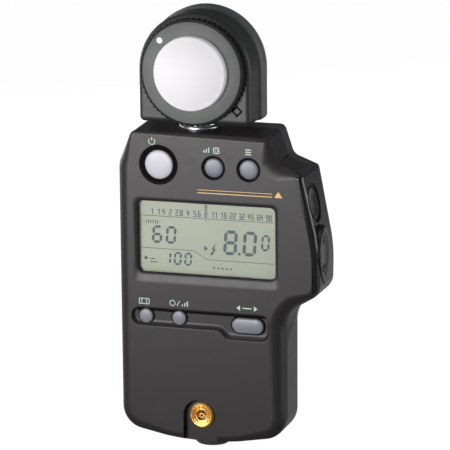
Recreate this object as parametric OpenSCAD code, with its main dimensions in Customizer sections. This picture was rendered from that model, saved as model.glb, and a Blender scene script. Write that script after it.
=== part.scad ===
// Handheld light meter: a two-part body with a display, keys and a side grip, and a
// turning head that carries a light cell behind a twist-off dome.
// +X is the user's right, -Y is the front and +Z is up. The origin is the mouth of
// the tripod socket, on the socket's axis.

/* [Body] */
// Width of the body below the grip
body_w = 63; // [62:0.5:64]
// Depth of the body from its front face to its back
body_d = 23; // [23:0.25:24]
// Height of the top front edge above the tripod socket
body_top = 119; // [118.6:0.1:119.4]
// How far the top rises from front to back
top_rise = 1.2; // [0.6:0.1:1.2]
// How far the front face stands in front of the tripod socket's axis
front_reach = 14; // [13.9:0.05:14.1]
// Reach of the grip bulge to the right of the body's middle
grip_reach = 44.9; // [44.5:0.1:45.3]

/* [Display] */
// Visible width of the display
lcd_w = 52; // [50:0.5:52]
// Visible height of the display
lcd_h = 26.6; // [25:0.2:26.6]
// Sideways place of the display's middle
lcd_x = 2.6; // [2:0.1:3]
// Height of the display's middle
lcd_z = 80; // [79.5:0.1:80.5]

/* [Keys] */
// Radius of the power key's cap
power_r = 5.3; // [5:0.1:5.4]
// Radius of the average and memory keys' caps
upper_key_r = 3.55; // [3.4:0.05:3.6]
// Radius of the two round lower keys' caps
lower_key_r = 2.65; // [2.5:0.05:2.7]
// How far a key travels
key_travel = 0.6; // [0.4:0.1:0.6]

/* [Head] */
// Radius of the arch round the dome ring; the head's shells stand 1 and 2 outside it
head_r = 20.2; // [20:0.1:20.4]
// Sideways place of the head's turning axis
head_x = -3.2; // [-3.4:0.1:-3]
// Height of the head's underside
head_bottom = 121.4; // [121.4:0.1:121.6]
// Radius of the white dome
dome_r = 13.5; // [13.2:0.1:13.6]
// Radius of the dome ring's front face
ring_r = 18.4; // [18.2:0.1:18.6]

/* [Sockets] */
// Radius of the tripod socket's threaded wall
tripod_r = 2.8; // [2.7:0.05:2.9]
// Sideways place of the sync socket
sync_x = -0.5; // [-0.7:0.1:-0.3]
// Height of the sync socket
sync_z = 13.4; // [13.2:0.1:13.6]

/* [Hidden] */
$fn = 64;
tiny = 0.01;                        // overshoot that keeps cuts from ending on a face

front_y = -front_reach;
back_y = front_y + body_d;
half_w = body_w / 2;
wall = 1.8;
cavity_front = front_y + wall;
cavity_back = back_y - wall;
grip_lip = 2.5;                     // how far the grip's front rim stands in from its side
grip_back = 5.5;                    // where the grip module ends towards the back
seam_low = front_y + 5.2;           // the seam between the covers, below and above its step
seam_high = front_y + 14.5;

// Corner lists hold [across, up, corner radius, front edge radius, back edge radius].
BODY = [[-half_w, 7.2, 9, 4.5, 5.6], [0, 2.6, 100, 3, 5], [half_w, 7, 9, 4.5, 5.6],
        [half_w, 53.8, 10, 5, 5], [grip_reach, 62.3, 6, 3, 4], [grip_reach, 78, 60, 2.4, 3.5],
        [grip_reach - 5.9, 105.9, 2, 1.6, 1.8], [29.7, 109.4, 4, 3, 1.5],
        [26.2, body_top, 2.5, 2, 1.5], [-25.3, body_top, 2.5, 1, 1.5], [-half_w, 107.4, 10, 5, 5.6]];
CAVITY = [[-28, 9.5, 5], [28, 9.5, 5], [28, 60, 2], [35.5, 62, 3], [35.5, 98, 3], [27.5, 103, 3],
          [23.5, 115.5, 2], [-23.5, 115.5, 2], [-28, 106, 5]];
GRIP = [[grip_reach - grip_lip, 63, 0.5], [grip_reach + 5, 63, 0.5], [grip_reach + 5, 115, 0.5],
        [36.4, 115, 0.5], [36.4, 106.2, 0.5], [grip_reach - grip_lip, 78, 60]];
SEAM = [[-60, -5, 1], [seam_low, -5, 1], [seam_low, 44.5, 8], [seam_high, 48.5, 4],
        [seam_high, 130, 1], [-60, 130, 1]];

power_at = [-15, 107];
average_at = [5.8, 106.9];
memory_at = [19, 106.9];
iso_at = [-20.9, 50.2];
aperture_at = [-8.2, 50.2];
mode_at = [18, 49];
mode_span = 3.2;                    // half the distance between the mode key's round ends
mode_r = 2.8;

recess_upper = 0.9;                 // depth of the wells around the upper keys
recess_lower = 1.2;                 // depth of the trough that holds the lower keys
fit = 0.1;                          // running clearance of a key in its hole
board_front = -8.4;
board_t = 1;
board_back = board_front + board_t;
switch_h = 0.9;

measure_tilt = atan(5.9 / 27.9);    // lean of the grip's upper side
measure_z = 94.9;
side_y = -6.4;                      // where the side keys lie between front and back
measure_x = grip_reach - (measure_z - 78) * tan(measure_tilt);
rocker_z = 75.9;
rocker_l = 22;
rocker_w = 12.4;

battery_x = -15;
battery_y = -0.1;
battery_r = 7.05;
battery_bottom = 9.9;
battery_l = 49.2;
door_w = 19;
door_top = 62;
door_lip = 1;

head_y = -1;
head_z = head_bottom + 19.1;        // middle of the arch
head_front_y = -8;
head_joint_y = 5;
head_back_y = 11.5;
ring_face_y = -11;
ring_back_y = -8.3;
bore_r = 15.56;
bore_end_y = -3.8;
spindle_r = 5;
dome_wall_y = ring_face_y - 2.4;
dome_tip_y = ring_face_y - 6.5;

SCREWS = [[24.5, 18], [-1, 27], [-23.8, 101.5], [30.5, 98.5]];

function unit(v) = v / norm(v);
function turn_of(s, e) = atan2(s[0] * e[1] - s[1] * e[0], s * e);
function steps(r, turn) = max(2, ceil(abs(turn) / (r > 15 ? 7 : 18)));

// Points of the arc that rounds corner p between its neighbours a and b, each as
// [across, up, outward normal across, outward normal up, front radius, back radius].
function corner_arc(a, p, b) =
    let (here = [p[0], p[1]],
         u = unit([a[0], a[1]] - here),
         w = unit([b[0], b[1]] - here),
         half = acos(u * w) / 2,
         centre = here + unit(u + w) * p[2] / sin(half),
         s = here + u * p[2] / tan(half) - centre,
         e = here + w * p[2] / tan(half) - centre,
         turn = turn_of(s, e),
         side = turn > 0 ? 1 : -1,
         n = steps(p[2], turn),
         start = atan2(s[1], s[0]))
    [for (k = [0:n])
        let (t = start + turn * k / n, d = [cos(t), sin(t)], q = centre + d * p[2])
        [q[0], q[1], side * d[0], side * d[1], p[3], p[4]]];

function outline(corners) =
    let (n = len(corners))
    [for (i = [0:n - 1])
        each corner_arc(corners[(i + n - 1) % n], corners[i], corners[(i + 1) % n])];

function flat(points) = [for (p = points) [p[0], p[1]]];

// The body's top slopes up towards the back, so points near the top rise with depth.
function lift(up, y, low, rise) =
    up > low ? rise * (up - low) / (body_top - low) * (y - front_y) / body_d : 0;

// One ring of an outline's rounded front or back edge, t degrees round from the flat face.
function edge_ring(points, y, t, back, low, rise) =
    [for (p = points)
        let (r = back ? p[5] : p[4],
             in = r * (1 - sin(t)),
             deep = y + (back ? -1 : 1) * r * (1 - cos(t)),
             up = p[1] - p[3] * in)
        [p[0] - p[2] * in, deep, up + lift(up, deep, low, rise)]];

function mean(points) = [for (axis = [0:2]) sum([for (p = points) p[axis]]) / len(points)];
function sum(values, i = 0) = i == len(values) ? 0 : values[i] + sum(values, i + 1);

// A solid through rings of points that run anticlockwise seen from the front, closed by
// fans about the middle of its first and last rings.
module loft(rings) {
    m = len(rings[0]);
    n = len(rings);
    sides = [for (k = [0:n - 2], i = [0:m - 1])
        let (a = k * m + i, b = k * m + (i + 1) % m)
        each [[a, b, b + m], [a, b + m, a + m]]];
    front = [for (i = [0:m - 1]) [n * m, (i + 1) % m, i]];
    back = [for (i = [0:m - 1]) [n * m + 1, (n - 1) * m + i, (n - 1) * m + (i + 1) % m]];
    polyhedron(points = concat([for (r = rings) each r], [mean(rings[0]), mean(rings[n - 1])]),
               faces = concat(front, sides, back));
}

// A plate of the given corners with rounded edges, from y0 to y1.
module rounded_plate(corners, y0, y1, low = 1000, rise = 0, turns = 4) {
    points = outline(corners);
    front = [for (k = [0:turns]) edge_ring(points, y0, 90 * k / turns, false, low, rise)];
    back = [for (k = [turns:-1:0]) edge_ring(points, y1, 90 * k / turns, true, low, rise)];
    loft(concat(front, back));
}

// A flat shape drawn across and up, made solid from y0 to y1.
module slab(y0, y1) {
    translate([0, y1, 0])
        rotate([90, 0, 0])
            linear_extrude(y1 - y0)
                children();
}

// A disc or ring on an axis along Y.
module disc(at, r, y0, y1, hole = 0) {
    translate([at[0], y1, at[1]])
        rotate([90, 0, 0])
            difference() {
                cylinder(r = r, h = y1 - y0);
                if (hole > 0) translate([0, 0, -tiny]) cylinder(r = hole, h = y1 - y0 + 2 * tiny);
            }
}

module block(low, high) {
    translate(low) cube(high - low);
}

// A slot shape with round ends, span being half the distance between their middles.
module stadium(span, r) {
    translate([-span, 0]) circle(r = r);
    translate([span, 0]) circle(r = r);
    square([2 * span, 2 * r], center = true);
}

// A rectangle with round corners, made of exact circles and squares.
module round_rect(w, h, r) {
    square([w - 2 * r, h], center = true);
    square([w, h - 2 * r], center = true);
    for (x = [-1, 1], y = [-1, 1])
        translate([x * (w / 2 - r), y * (h / 2 - r)]) circle(r = r);
}

// A wire of radius r wound upwards on a coil that changes from one radius to another.
module coil(r0, r1, h, turns, r) {
    per_turn = 14;
    sides = 6;
    n = turns * per_turn;
    rings = [for (k = [0:n])
        let (f = k / n, R = r0 + (r1 - r0) * f, t = 360 * turns * f)
        [for (s = [0:sides - 1])
            let (q = -360 * s / sides, d = R + r * cos(q))
            [d * cos(t), d * sin(t), h * f + r * sin(q)]]];
    loft(rings);
}

// ---- The body ----

module body_solid() {
    rounded_plate(BODY, front_y, back_y, 110, top_rise);
}

module cavity() {
    difference() {
        slab(cavity_front, cavity_back) polygon(flat(outline(CAVITY)));
        // Pads behind the trough and behind the sync socket's slot
        block([-30, front_y, 41], [30, cavity_front + 1, 56.5]);
        block([sync_x - 8, front_y, 0], [sync_x + 8, front_y + 4.4, 22]);
    }
}

module seam_region(front) {
    rotate([90, 0, 90])
        translate([0, 0, -60])
            linear_extrude(120)
                if (front) polygon(flat(outline(SEAM)));
                else difference() {
                    translate([-70, -10]) square([140, 150]);
                    polygon(flat(outline(SEAM)));
                }
}

module grip_region(gap = 0) {
    slab(front_y - 5, grip_back + gap)
        polygon(flat(outline(GRIP)));
}

module screw_posts(y0, y1) {
    for (s = SCREWS)
        disc(s, 2.4, y0, y1, 0.8);
}

// A key's well in the face and the close hole that guides its cap.
module round_key_hole(at, r, well, depth) {
    disc(at, well, front_y - 1, front_y + depth);
    disc(at, r + fit, front_y - 1, cavity_front + 2);
}

module trough() {
    translate([0, 0, 50.1])
        slab(front_y - 1, front_y + recess_lower)
            round_rect(52.6, 7, 3);
    translate([17.8, 0, 48.55])
        slab(front_y - 1, front_y + recess_lower)
            round_rect(17, 10.1, 3);
}

module sync_slot() {
    translate([sync_x, 0, sync_z + 0.2])
        slab(front_y - 1, front_y + 2.6) {
            circle(r = 6.35);
            translate([-6.35, -20]) square([12.7, 20]);
        }
}

module nut_room() {
    disc([sync_x, sync_z], 5.8, front_y + 4.4, front_y + 7);
}

module neck_hole() {
    translate([head_x, head_y, 110]) cylinder(r = 6.5, h = 20);
    translate([head_x, head_y, body_top + 0.1]) cylinder(r = 7.8, h = 10);
}

module side_window() {
    block([34, -12, 67.5], [grip_reach, 0, 101]);
}

module front_cover() {
    color([0.28, 0.28, 0.29])
        difference() {
            union() {
                difference() {
                    intersection() {
                        body_solid();
                        seam_region(true);
                    }
                    cavity();
                }
                screw_posts(cavity_front - 0.5, 0.4);
            }
            grip_region();
            round_key_hole(power_at, power_r, 7.5, recess_upper);
            round_key_hole(average_at, upper_key_r, 4.65, recess_upper);
            round_key_hole(memory_at, upper_key_r, 4.65, recess_upper);
            trough();
            round_key_hole(iso_at, lower_key_r, lower_key_r, recess_lower);
            round_key_hole(aperture_at, lower_key_r, lower_key_r, recess_lower);
            translate([mode_at[0], 0, mode_at[1]])
                slab(front_y - 1, cavity_front + 2) stadium(mode_span, mode_r + fit);
            translate([lcd_x, 0, lcd_z - 1])
                slab(front_y - 1, front_y + recess_upper) round_rect(lcd_w + 4, lcd_h + 5.4, 3);
            translate([lcd_x, 0, lcd_z])
                slab(front_y - 1, cavity_front + 1) round_rect(lcd_w, lcd_h, 2);
            sync_slot();
            disc([sync_x, sync_z], 3.9, front_y - 1, front_y + 6);
            nut_room();
            neck_hole();
            side_window();
            rocker_shape(grip_reach - 3.8, grip_reach + 5, 0.4);
        }
}

module door_channel(gap) {
    x0 = battery_x - door_w / 2;
    x1 = battery_x + door_w / 2;
    block([x0 - gap, back_y - 0.9 - gap, -10], [x1 + gap, back_y + 5, door_top + gap]);
    block([x0 - door_lip - gap, cavity_back - gap, -10],
          [x1 + door_lip + gap, back_y - 0.9 + gap, door_top + gap]);
}

module rear_cover() {
    color([0.36, 0.37, 0.37])
        difference() {
            union() {
                difference() {
                    intersection() {
                        body_solid();
                        seam_region(false);
                    }
                    cavity();
                }
                screw_posts(0.6, back_y - wall + 0.2);
                // Boss around the tripod insert, chamfered below
                translate([0, 0, 0.3]) cylinder(r1 = 5.9, r2 = 8.2, h = 2.3);
                translate([0, 0, 2.6]) cylinder(r = 8.2, h = 6.9);
            }
            grip_region();
            translate([0, 0, -1]) cylinder(r = 4.6, h = 20);
            door_channel(0.15);
            nut_room();
            neck_hole();
            for (s = SCREWS) {
                disc(s, 1.9, back_y - 1.4, back_y + 1);
                disc(s, 1, 0, back_y + 1);
            }
            translate([11, 0, 46])
                slab(back_y - 0.4, back_y + 1) round_rect(26, 34, 2);
        }
}

module grip_module() {
    color([0.06, 0.06, 0.07])
        difference() {
            intersection() {
                body_solid();
                grip_region(-0.1);
            }
            // Well and hole of the measuring key
            measure_frame() {
                translate([0, 0, -0.9]) linear_extrude(5) stadium(1, 6.2);
                translate([0, 0, -12]) linear_extrude(20) stadium(1.5, 4.3 + fit);
                translate([0, 0, -14]) linear_extrude(11.9) stadium(1.5, 5.5);
            }
            rocker_pocket();
            // The pin's seats
            rocker_axis(rocker_w / 2 + 0.8, 0.8);
        }
}

// A frame on the grip's sloping side, with its own Z pointing out of the side and its
// X running down along it.
module measure_frame() {
    translate([measure_x, side_y, measure_z])
        rotate([0, 90 - measure_tilt, 0])
            children();
}

module lens(l, w, grow) {
    r = (l * l / 4 + w * w / 4) / w;
    intersection() {
        translate([0, r - w / 2]) circle(r = r + grow);
        translate([0, w / 2 - r]) circle(r = r + grow);
    }
}

module rocker_shape(x0, x1, grow) {
    translate([x0, side_y, rocker_z])
        rotate([90, 0, 90])
            linear_extrude(x1 - x0)
                rotate(90) lens(rocker_l, rocker_w, grow);
}

module rocker_pocket() {
    rocker_shape(grip_reach - 10, grip_reach + 5, 0.4);
}

module rocker_axis(half_l, r) {
    translate([grip_reach - 1.9, side_y + half_l, rocker_z])
        rotate([90, 0, 0]) cylinder(r = r, h = 2 * half_l);
}

// ---- Display and electronics ----

module lcd_window() {
    color([0.8, 0.85, 0.8, 0.4])
        translate([lcd_x, 0, lcd_z])
            slab(cavity_front, cavity_front + 1) round_rect(lcd_w + 2.4, lcd_h + 2.4, 1.5);
}

module lcd_glass() {
    color([0.72, 0.74, 0.65])
        translate([lcd_x, 0, lcd_z])
            slab(cavity_front + 1, -9.6) square([lcd_w + 2, lcd_h + 3], center = true);
}

module lcd_frame() {
    color([0.85, 0.85, 0.82])
        translate([lcd_x, 0, lcd_z])
            slab(cavity_front, board_front)
                difference() {
                    square([lcd_w + 6, lcd_h + 5], center = true);
                    square([lcd_w + 2.6, lcd_h + 3.2], center = true);
                }
}

module lcd_connector() {
    color([0.2, 0.2, 0.25])
        for (side = [-1, 1])
            block([lcd_x - 24, -9.6, lcd_z + side * 13.7 - 0.9],
                  [lcd_x + 24, board_front, lcd_z + side * 13.7 + 0.9]);
}

module main_board() {
    color([0.1, 0.35, 0.2])
        difference() {
            union() {
                block([-27, board_front, 32], [26, board_back, 97.5]);
                block([-21, board_front, 97.4], [23.5, board_back, 112.5]);
            }
            for (at = [[-24, 60], [22, 60]])
                disc(at, 1.1, board_front - 1, board_back + 1);
        }
}

module board_chips() {
    color([0.08, 0.08, 0.08]) {
        block([4, board_back, 76], [18, board_back + 1.6, 90]);
        block([-2, board_back, 62], [8, board_back + 1.4, 69]);
        block([14, board_back, 50], [22, board_back + 1.4, 56]);
        block([-20, board_back, 78], [-10, board_back + 1.4, 84]);
        for (k = [0:3])
            block([-4 + 5 * k, board_back, 40], [-2 + 5 * k, board_back + 0.8, 41.2]);
        disc([16, 66], 2.6, board_back, board_back + 5);
    }
}

module key_switches() {
    color([0.75, 0.75, 0.72])
        for (at = [power_at, average_at, memory_at, iso_at, aperture_at, mode_at])
            block([at[0] - 2.2, board_front - switch_h, at[1] - 2.2],
                  [at[0] + 2.2, board_front, at[1] + 2.2]);
}

// ---- Keys ----

// A round key: a cap with a slightly domed edge, a retaining flange and a short stem.
module round_key(at, r, top_y, flange_y, shade) {
    color(shade) {
        disc(at, r - 0.3, top_y, top_y + 0.3);
        disc(at, r, top_y + 0.25, flange_y + 0.1);
        disc(at, r + 1, flange_y, flange_y + 0.7);
        disc(at, 1.4, flange_y + 0.6, board_front - switch_h - key_travel - 0.35);
    }
}

module power_button() {
    round_key(power_at, power_r, front_y + 0.1, cavity_front + 0.3, [0.84, 0.83, 0.87]);
}

module average_button() {
    round_key(average_at, upper_key_r, front_y + 0.2, cavity_front + 0.3, [0.55, 0.57, 0.65]);
}

module memory_button() {
    round_key(memory_at, upper_key_r, front_y + 0.2, cavity_front + 0.3, [0.55, 0.57, 0.65]);
}

module iso_button() {
    round_key(iso_at, lower_key_r, front_y + 0.3, cavity_front + 1.3, [0.5, 0.52, 0.57]);
}

module aperture_button() {
    round_key(aperture_at, lower_key_r, front_y + 0.3, cavity_front + 1.3, [0.5, 0.52, 0.57]);
}

module mode_button() {
    color([0.5, 0.52, 0.57])
        translate([mode_at[0], 0, mode_at[1]]) {
            slab(front_y + 0.3, front_y + 0.6) stadium(mode_span, mode_r - 0.3);
            slab(front_y + 0.55, cavity_front + 1.4) stadium(mode_span, mode_r);
            slab(cavity_front + 1.3, cavity_front + 1.95) stadium(mode_span, mode_r + 1);
        }
}

module measure_button() {
    color([0.07, 0.07, 0.08])
        measure_frame()
            difference() {
                union() {
                    translate([0, 0, -2.5]) linear_extrude(2.2) stadium(1.5, 4.3);
                    translate([0, 0, -3.1]) linear_extrude(0.7) stadium(1.5, 5.1);
                }
                // Dished finger face
                translate([0, 0, 24.3]) sphere(r = 25, $fn = 96);
            }
}

module rocker_key() {
    color([0.07, 0.07, 0.08])
        difference() {
            union() {
                rocker_shape(grip_reach - 2.2, grip_reach + 0.4, 0);
                // Feet that reach the two switches
                for (side = [-1, 1])
                    block([grip_reach - 6.5, side_y - 1.2, rocker_z + side * 6.4 - 1.2],
                          [grip_reach - 2.1, side_y + 1.2, rocker_z + side * 6.4 + 1.2]);
                translate([grip_reach - 1.9, side_y + 4, rocker_z])
                    rotate([90, 0, 0]) cylinder(r = 1.6, h = 8);
            }
            rocker_axis(rocker_w, 0.85);
        }
}

module rocker_pin() {
    color("silver") rocker_axis(rocker_w / 2 + 0.8, 0.8);
}

module side_switch_board() {
    color([0.1, 0.35, 0.2]) block([34.4, -11.8, 68], [35.4, -0.4, 100.5]);
}

module side_switches() {
    color([0.75, 0.75, 0.72])
        for (z = [rocker_z - 6.4, rocker_z + 6.4, measure_z - 1])
            block([35.4, side_y - 2, z - 1.5], [37.2, side_y + 2, z + 1.5]);
}

// ---- Battery ----

module battery_cell() {
    color([0.7, 0.5, 0.25])
        translate([battery_x, battery_y, battery_bottom + 2.6]) {
            cylinder(r = battery_r, h = battery_l - 1);
            cylinder(r = 2.7, h = battery_l);
        }
}

module battery_door() {
    color([0.34, 0.35, 0.35])
        difference() {
            intersection() {
                body_solid();
                door_channel(0);
            }
            // Thumb ribs, cut as shallow grooves
            for (k = [0:4])
                block([battery_x - 5, back_y - 0.35, 50 + 2 * k], [battery_x + 5, back_y + 1, 51 + 2 * k]);
        }
}

module battery_spring() {
    color("silver")
        translate([battery_x, battery_y, battery_bottom])
            coil(5, 2.6, 2.2, 3, 0.35);
}

module battery_contact() {
    color([0.8, 0.75, 0.6])
        block([battery_x - 5, battery_y - 5, battery_bottom + 2.6 + battery_l],
              [battery_x + 5, battery_y + 5, battery_bottom + 3 + battery_l]);
}

// ---- Sockets and fasteners ----

// A body turned about the sync socket's axis; the profile gives radius and depth.
module sync_turned(profile) {
    translate([sync_x, front_y + 1.4, sync_z])
        rotate([-90, 0, 0])
            rotate_extrude() polygon(profile);
}

module sync_shell() {
    color([0.85, 0.65, 0.3])
        sync_turned([[4.1, 0], [4.75, 0.5], [4.75, 1.2], [3.9, 1.2], [3.9, 7.4], [1.9, 7.4],
                     [1.9, 2.2], [2.7, 1.5], [2.9, 0.9], [3.9, 0.4]]);
}

module sync_insulator() {
    color([0.9, 0.9, 0.85])
        sync_turned([[0.9, 5], [1.9, 5], [1.9, 7.4], [0.9, 7.4]]);
}

module sync_contact() {
    color([0.85, 0.65, 0.3])
        difference() {
            disc([sync_x, sync_z], 0.9, front_y + 2.3, front_y + 10.2);
            disc([sync_x, sync_z], 0.5, front_y + 1, front_y + 8.8);
        }
}

module sync_nut() {
    color("silver")
        slab(front_y + 4.4, front_y + 6.4)
            translate([sync_x, sync_z])
                difference() {
                    circle(r = 5.4, $fn = 6);
                    circle(r = 3.9);
                }
}

module tripod_insert() {
    color([0.75, 0.72, 0.65])
        difference() {
            union() {
                cylinder(r = 4.6, h = 8.4);
                translate([0, 0, 8.4]) cylinder(r = 4, h = 1);
            }
            translate([0, 0, -tiny]) cylinder(r = tripod_r, h = 8 + tiny);
        }
}

module cover_screws() {
    color("dimgray")
        for (s = SCREWS) {
            difference() {
                disc(s, 1.8, back_y - 1.3, back_y - 0.2);
                block([s[0] - 1.2, back_y - 0.7, s[1] - 0.2], [s[0] + 1.2, back_y, s[1] + 0.2]);
                block([s[0] - 0.2, back_y - 0.7, s[1] - 1.2], [s[0] + 0.2, back_y, s[1] + 1.2]);
            }
            disc(s, 0.8, -4, back_y - 1.25);
        }
}

module label_plate() {
    color([0.7, 0.7, 0.7])
        translate([11, 0, 46])
            slab(back_y - 0.4, back_y - 0.05) round_rect(25.8, 33.8, 1.9);
}

// ---- The neck ----

module on_neck(z0, r, h, hole = 0) {
    translate([head_x, head_y, z0])
        difference() {
            cylinder(r = r, h = h);
            if (hole > 0) translate([0, 0, -tiny]) cylinder(r = hole, h = h + 2 * tiny);
        }
}

module neck_bush() {
    color("silver")
        difference() {
            union() {
                on_neck(body_top + 0.1, 7.5, 1.2);
                on_neck(113.5, 6.5, body_top - 113.4 + tiny);
            }
            translate([head_x, head_y, 110]) cylinder(r = spindle_r + 0.05, h = 20);
        }
}

module neck_collar() {
    color("silver") on_neck(body_top + 1.6, 6.9, head_bottom - body_top - 1.6, spindle_r);
}

module neck_spindle() {
    color([0.8, 0.8, 0.8])
        difference() {
            union() {
                on_neck(108.5, spindle_r, head_bottom - 108.5 + 3.3);
                on_neck(head_bottom + 2.2, 6.5, 1.1);
            }
            translate([head_x, head_y, 100]) cylinder(r = 3.2, h = 30);
        }
}

module spindle_nut() {
    color("silver") on_neck(110.4, 6, 2, spindle_r);
}

// A wavy washer: a flat ring whose height swings three times round.
module wave_washer() {
    n = 48;
    rings = [for (k = [0:n])
        let (t = 360 * k / n, z = 0.14 * sin(3 * t), d = [cos(t), sin(t)])
        [for (q = [[5.3, 0.12], [6.3, 0.12], [6.3, -0.12], [5.3, -0.12]])
            [q[0] * d[0], q[0] * d[1], z + q[1]]]];
    faces = [for (k = [0:n - 1], i = [0:3])
        let (a = k * 4 + i, b = k * 4 + (i + 1) % 4, c = ((k + 1) % n) * 4)
        each [[a, c + (i + 1) % 4, b], [a, c + i, c + (i + 1) % 4]]];
    color("silver")
        translate([head_x, head_y, 113.1])
            polyhedron(points = [for (k = [0:n - 1]) each rings[k]], faces = faces);
}

module sensor_leads() {
    color([0.7, 0.2, 0.15])
        for (k = [-1:1])
            translate([head_x + 1.5 * k, head_y, 107])
                cylinder(r = 0.5, h = head_bottom - 107 + 7);
}

// ---- The head ----

function arch(r, bottom, edge_front, edge_back) =
    [[head_x - r, bottom, 2, edge_front, edge_back], [head_x + r, bottom, 2, edge_front, edge_back],
     [head_x + r, head_z + r, r - 0.6, edge_front, edge_back],
     [head_x - r, head_z + r, r - 0.6, edge_front, edge_back]];

module head_hollow(y0, y1, inset) {
    slab(y0, y1)
        polygon(flat(outline(arch(head_r - inset, head_bottom + 2.2, 0, 0))));
}

module head_front() {
    color([0.33, 0.35, 0.34])
        difference() {
            rounded_plate(arch(head_r + 1, head_bottom, 1.9, 0), head_front_y, head_joint_y, turns = 3);
            disc([head_x, head_z], bore_r, head_front_y - 1, bore_end_y);
            disc([head_x, head_z], 12, head_front_y - 1, -2);
            head_hollow(-2.6, head_joint_y + 1, 2);
            translate([head_x, head_y, head_bottom - 1]) cylinder(r = spindle_r, h = 5);
            translate([head_x, head_y, head_bottom + 2.2]) cylinder(r = 6.6, h = 1.5);
        }
}

module head_rear() {
    color([0.4, 0.42, 0.41])
        difference() {
            rounded_plate(arch(head_r + 2, head_bottom, 0.8, 2.4), head_joint_y, head_back_y, turns = 3);
            head_hollow(head_joint_y - 1, head_back_y - 1.8, 2.4);
            for (x = [-1, 1])
                disc([head_x + x * 12, head_bottom + 5], 1.9, head_back_y - 1.2, head_back_y + 1);
        }
}

module head_screws() {
    color("dimgray")
        for (x = [-1, 1])
            let (at = [head_x + x * 12, head_bottom + 5])
            difference() {
                disc(at, 1.85, head_back_y - 1.2, head_back_y - 0.2);
                block([at[0] - 1.2, head_back_y - 0.6, at[1] - 0.2],
                      [at[0] + 1.2, head_back_y, at[1] + 0.2]);
                block([at[0] - 0.2, head_back_y - 0.6, at[1] - 1.2],
                      [at[0] + 0.2, head_back_y, at[1] + 1.2]);
            }
}

module index_mark() {
    color([0.1, 0.1, 0.1])
        translate([head_x + 16.2, 0, head_z - 13.7])
            slab(head_front_y - 0.1, head_front_y)
                rotate(45)
                    difference() {
                        square(2.6, center = true);
                        square(1.7, center = true);
                    }
}

module sensor_board() {
    color([0.1, 0.35, 0.2])
        translate([head_x, 0, head_z])
            slab(0.4, 1.4) round_rect(28, 20, 2);
}

module photocell() {
    color([0.75, 0.7, 0.5]) {
        disc([head_x, head_z], 6, -1.6, 0.4);
        disc([head_x, head_z], 7, -0.2, 0.4);
    }
}

module filter_glass() {
    color([0.5, 0.7, 0.8, 0.5]) disc([head_x, head_z], 11.9, bore_end_y, -2.4);
}

module light_baffle() {
    color([0.93, 0.93, 0.92])
        translate([head_x, bore_end_y, head_z])
            rotate([90, 0, 0])
                rotate_extrude()
                    polygon([[9, 0], [13.8, 0], [13.8, 3.4], [12.6, 3.4]]);
}

// The dome's ring: a coined edge, a sleeve that turns in the head, and a seat for the dome.
module diffuser_ring() {
    teeth = 60;
    color([0.42, 0.42, 0.42])
        difference() {
            union() {
                disc([head_x, head_z], ring_r, ring_face_y, ring_back_y);
                slab(ring_face_y + 0.5, ring_back_y)
                    translate([head_x, head_z])
                        polygon([for (k = [0:2 * teeth - 1])
                            (19.3 + 0.35 * (k % 2)) * [cos(180 * k / teeth), sin(180 * k / teeth)]]);
                disc([head_x, head_z], bore_r - 0.05, ring_back_y - 0.2, bore_end_y - 0.3);
            }
            disc([head_x, head_z], dome_r + 0.1, ring_face_y - 1, bore_end_y);
            disc([head_x, head_z], 14.2, ring_face_y + 1, bore_end_y);
        }
}

module ring_dot() {
    color("white") disc([head_x - 11.7, head_z + 11.4], 1.1, ring_face_y - 0.05, ring_face_y);
}

// The dome: a short steep wall, then a shallow spherical cap, as a thin shell.
module diffuser_dome() {
    rise = dome_wall_y - dome_tip_y;
    skin = 1.3;
    cap_r = ((dome_r - 0.4) ^ 2 + rise ^ 2) / (2 * rise);
    color([0.95, 0.95, 0.95])
        translate([head_x, 0, head_z])
            rotate([-90, 0, 0])
                difference() {
                    union() {
                        translate([0, 0, dome_wall_y]) cylinder(r = dome_r, h = ring_back_y - dome_wall_y);
                        intersection() {
                            translate([0, 0, dome_tip_y + cap_r]) sphere(r = cap_r);
                            translate([0, 0, dome_tip_y - 1]) cylinder(r = dome_r - 0.1, h = rise + 1 + tiny);
                        }
                        translate([0, 0, ring_face_y + 1.2]) cylinder(r = 14.1, h = 1.2);
                    }
                    translate([0, 0, dome_wall_y + 0.6])
                        cylinder(r = dome_r - skin, h = ring_back_y - dome_wall_y + 1);
                    intersection() {
                        translate([0, 0, dome_tip_y + cap_r]) sphere(r = cap_r - skin);
                        translate([0, 0, dome_tip_y]) cylinder(r = dome_r - skin, h = rise + 0.7);
                    }
                }
}

front_cover();
rear_cover();
grip_module();
lcd_window();
lcd_glass();
lcd_frame();
lcd_connector();
main_board();
board_chips();
key_switches();
power_button();
average_button();
memory_button();
iso_button();
aperture_button();
mode_button();
measure_button();
rocker_key();
rocker_pin();
side_switch_board();
side_switches();
battery_cell();
battery_door();
battery_spring();
battery_contact();
sync_shell();
sync_insulator();
sync_contact();
sync_nut();
tripod_insert();
cover_screws();
label_plate();
neck_bush();
neck_collar();
neck_spindle();
spindle_nut();
wave_washer();
sensor_leads();
head_front();
head_rear();
head_screws();
index_mark();
sensor_board();
photocell();
filter_glass();
light_baffle();
diffuser_ring();
ring_dot();
diffuser_dome();
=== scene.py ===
import math

import bmesh
import bpy
from mathutils import Matrix, Vector


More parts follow.
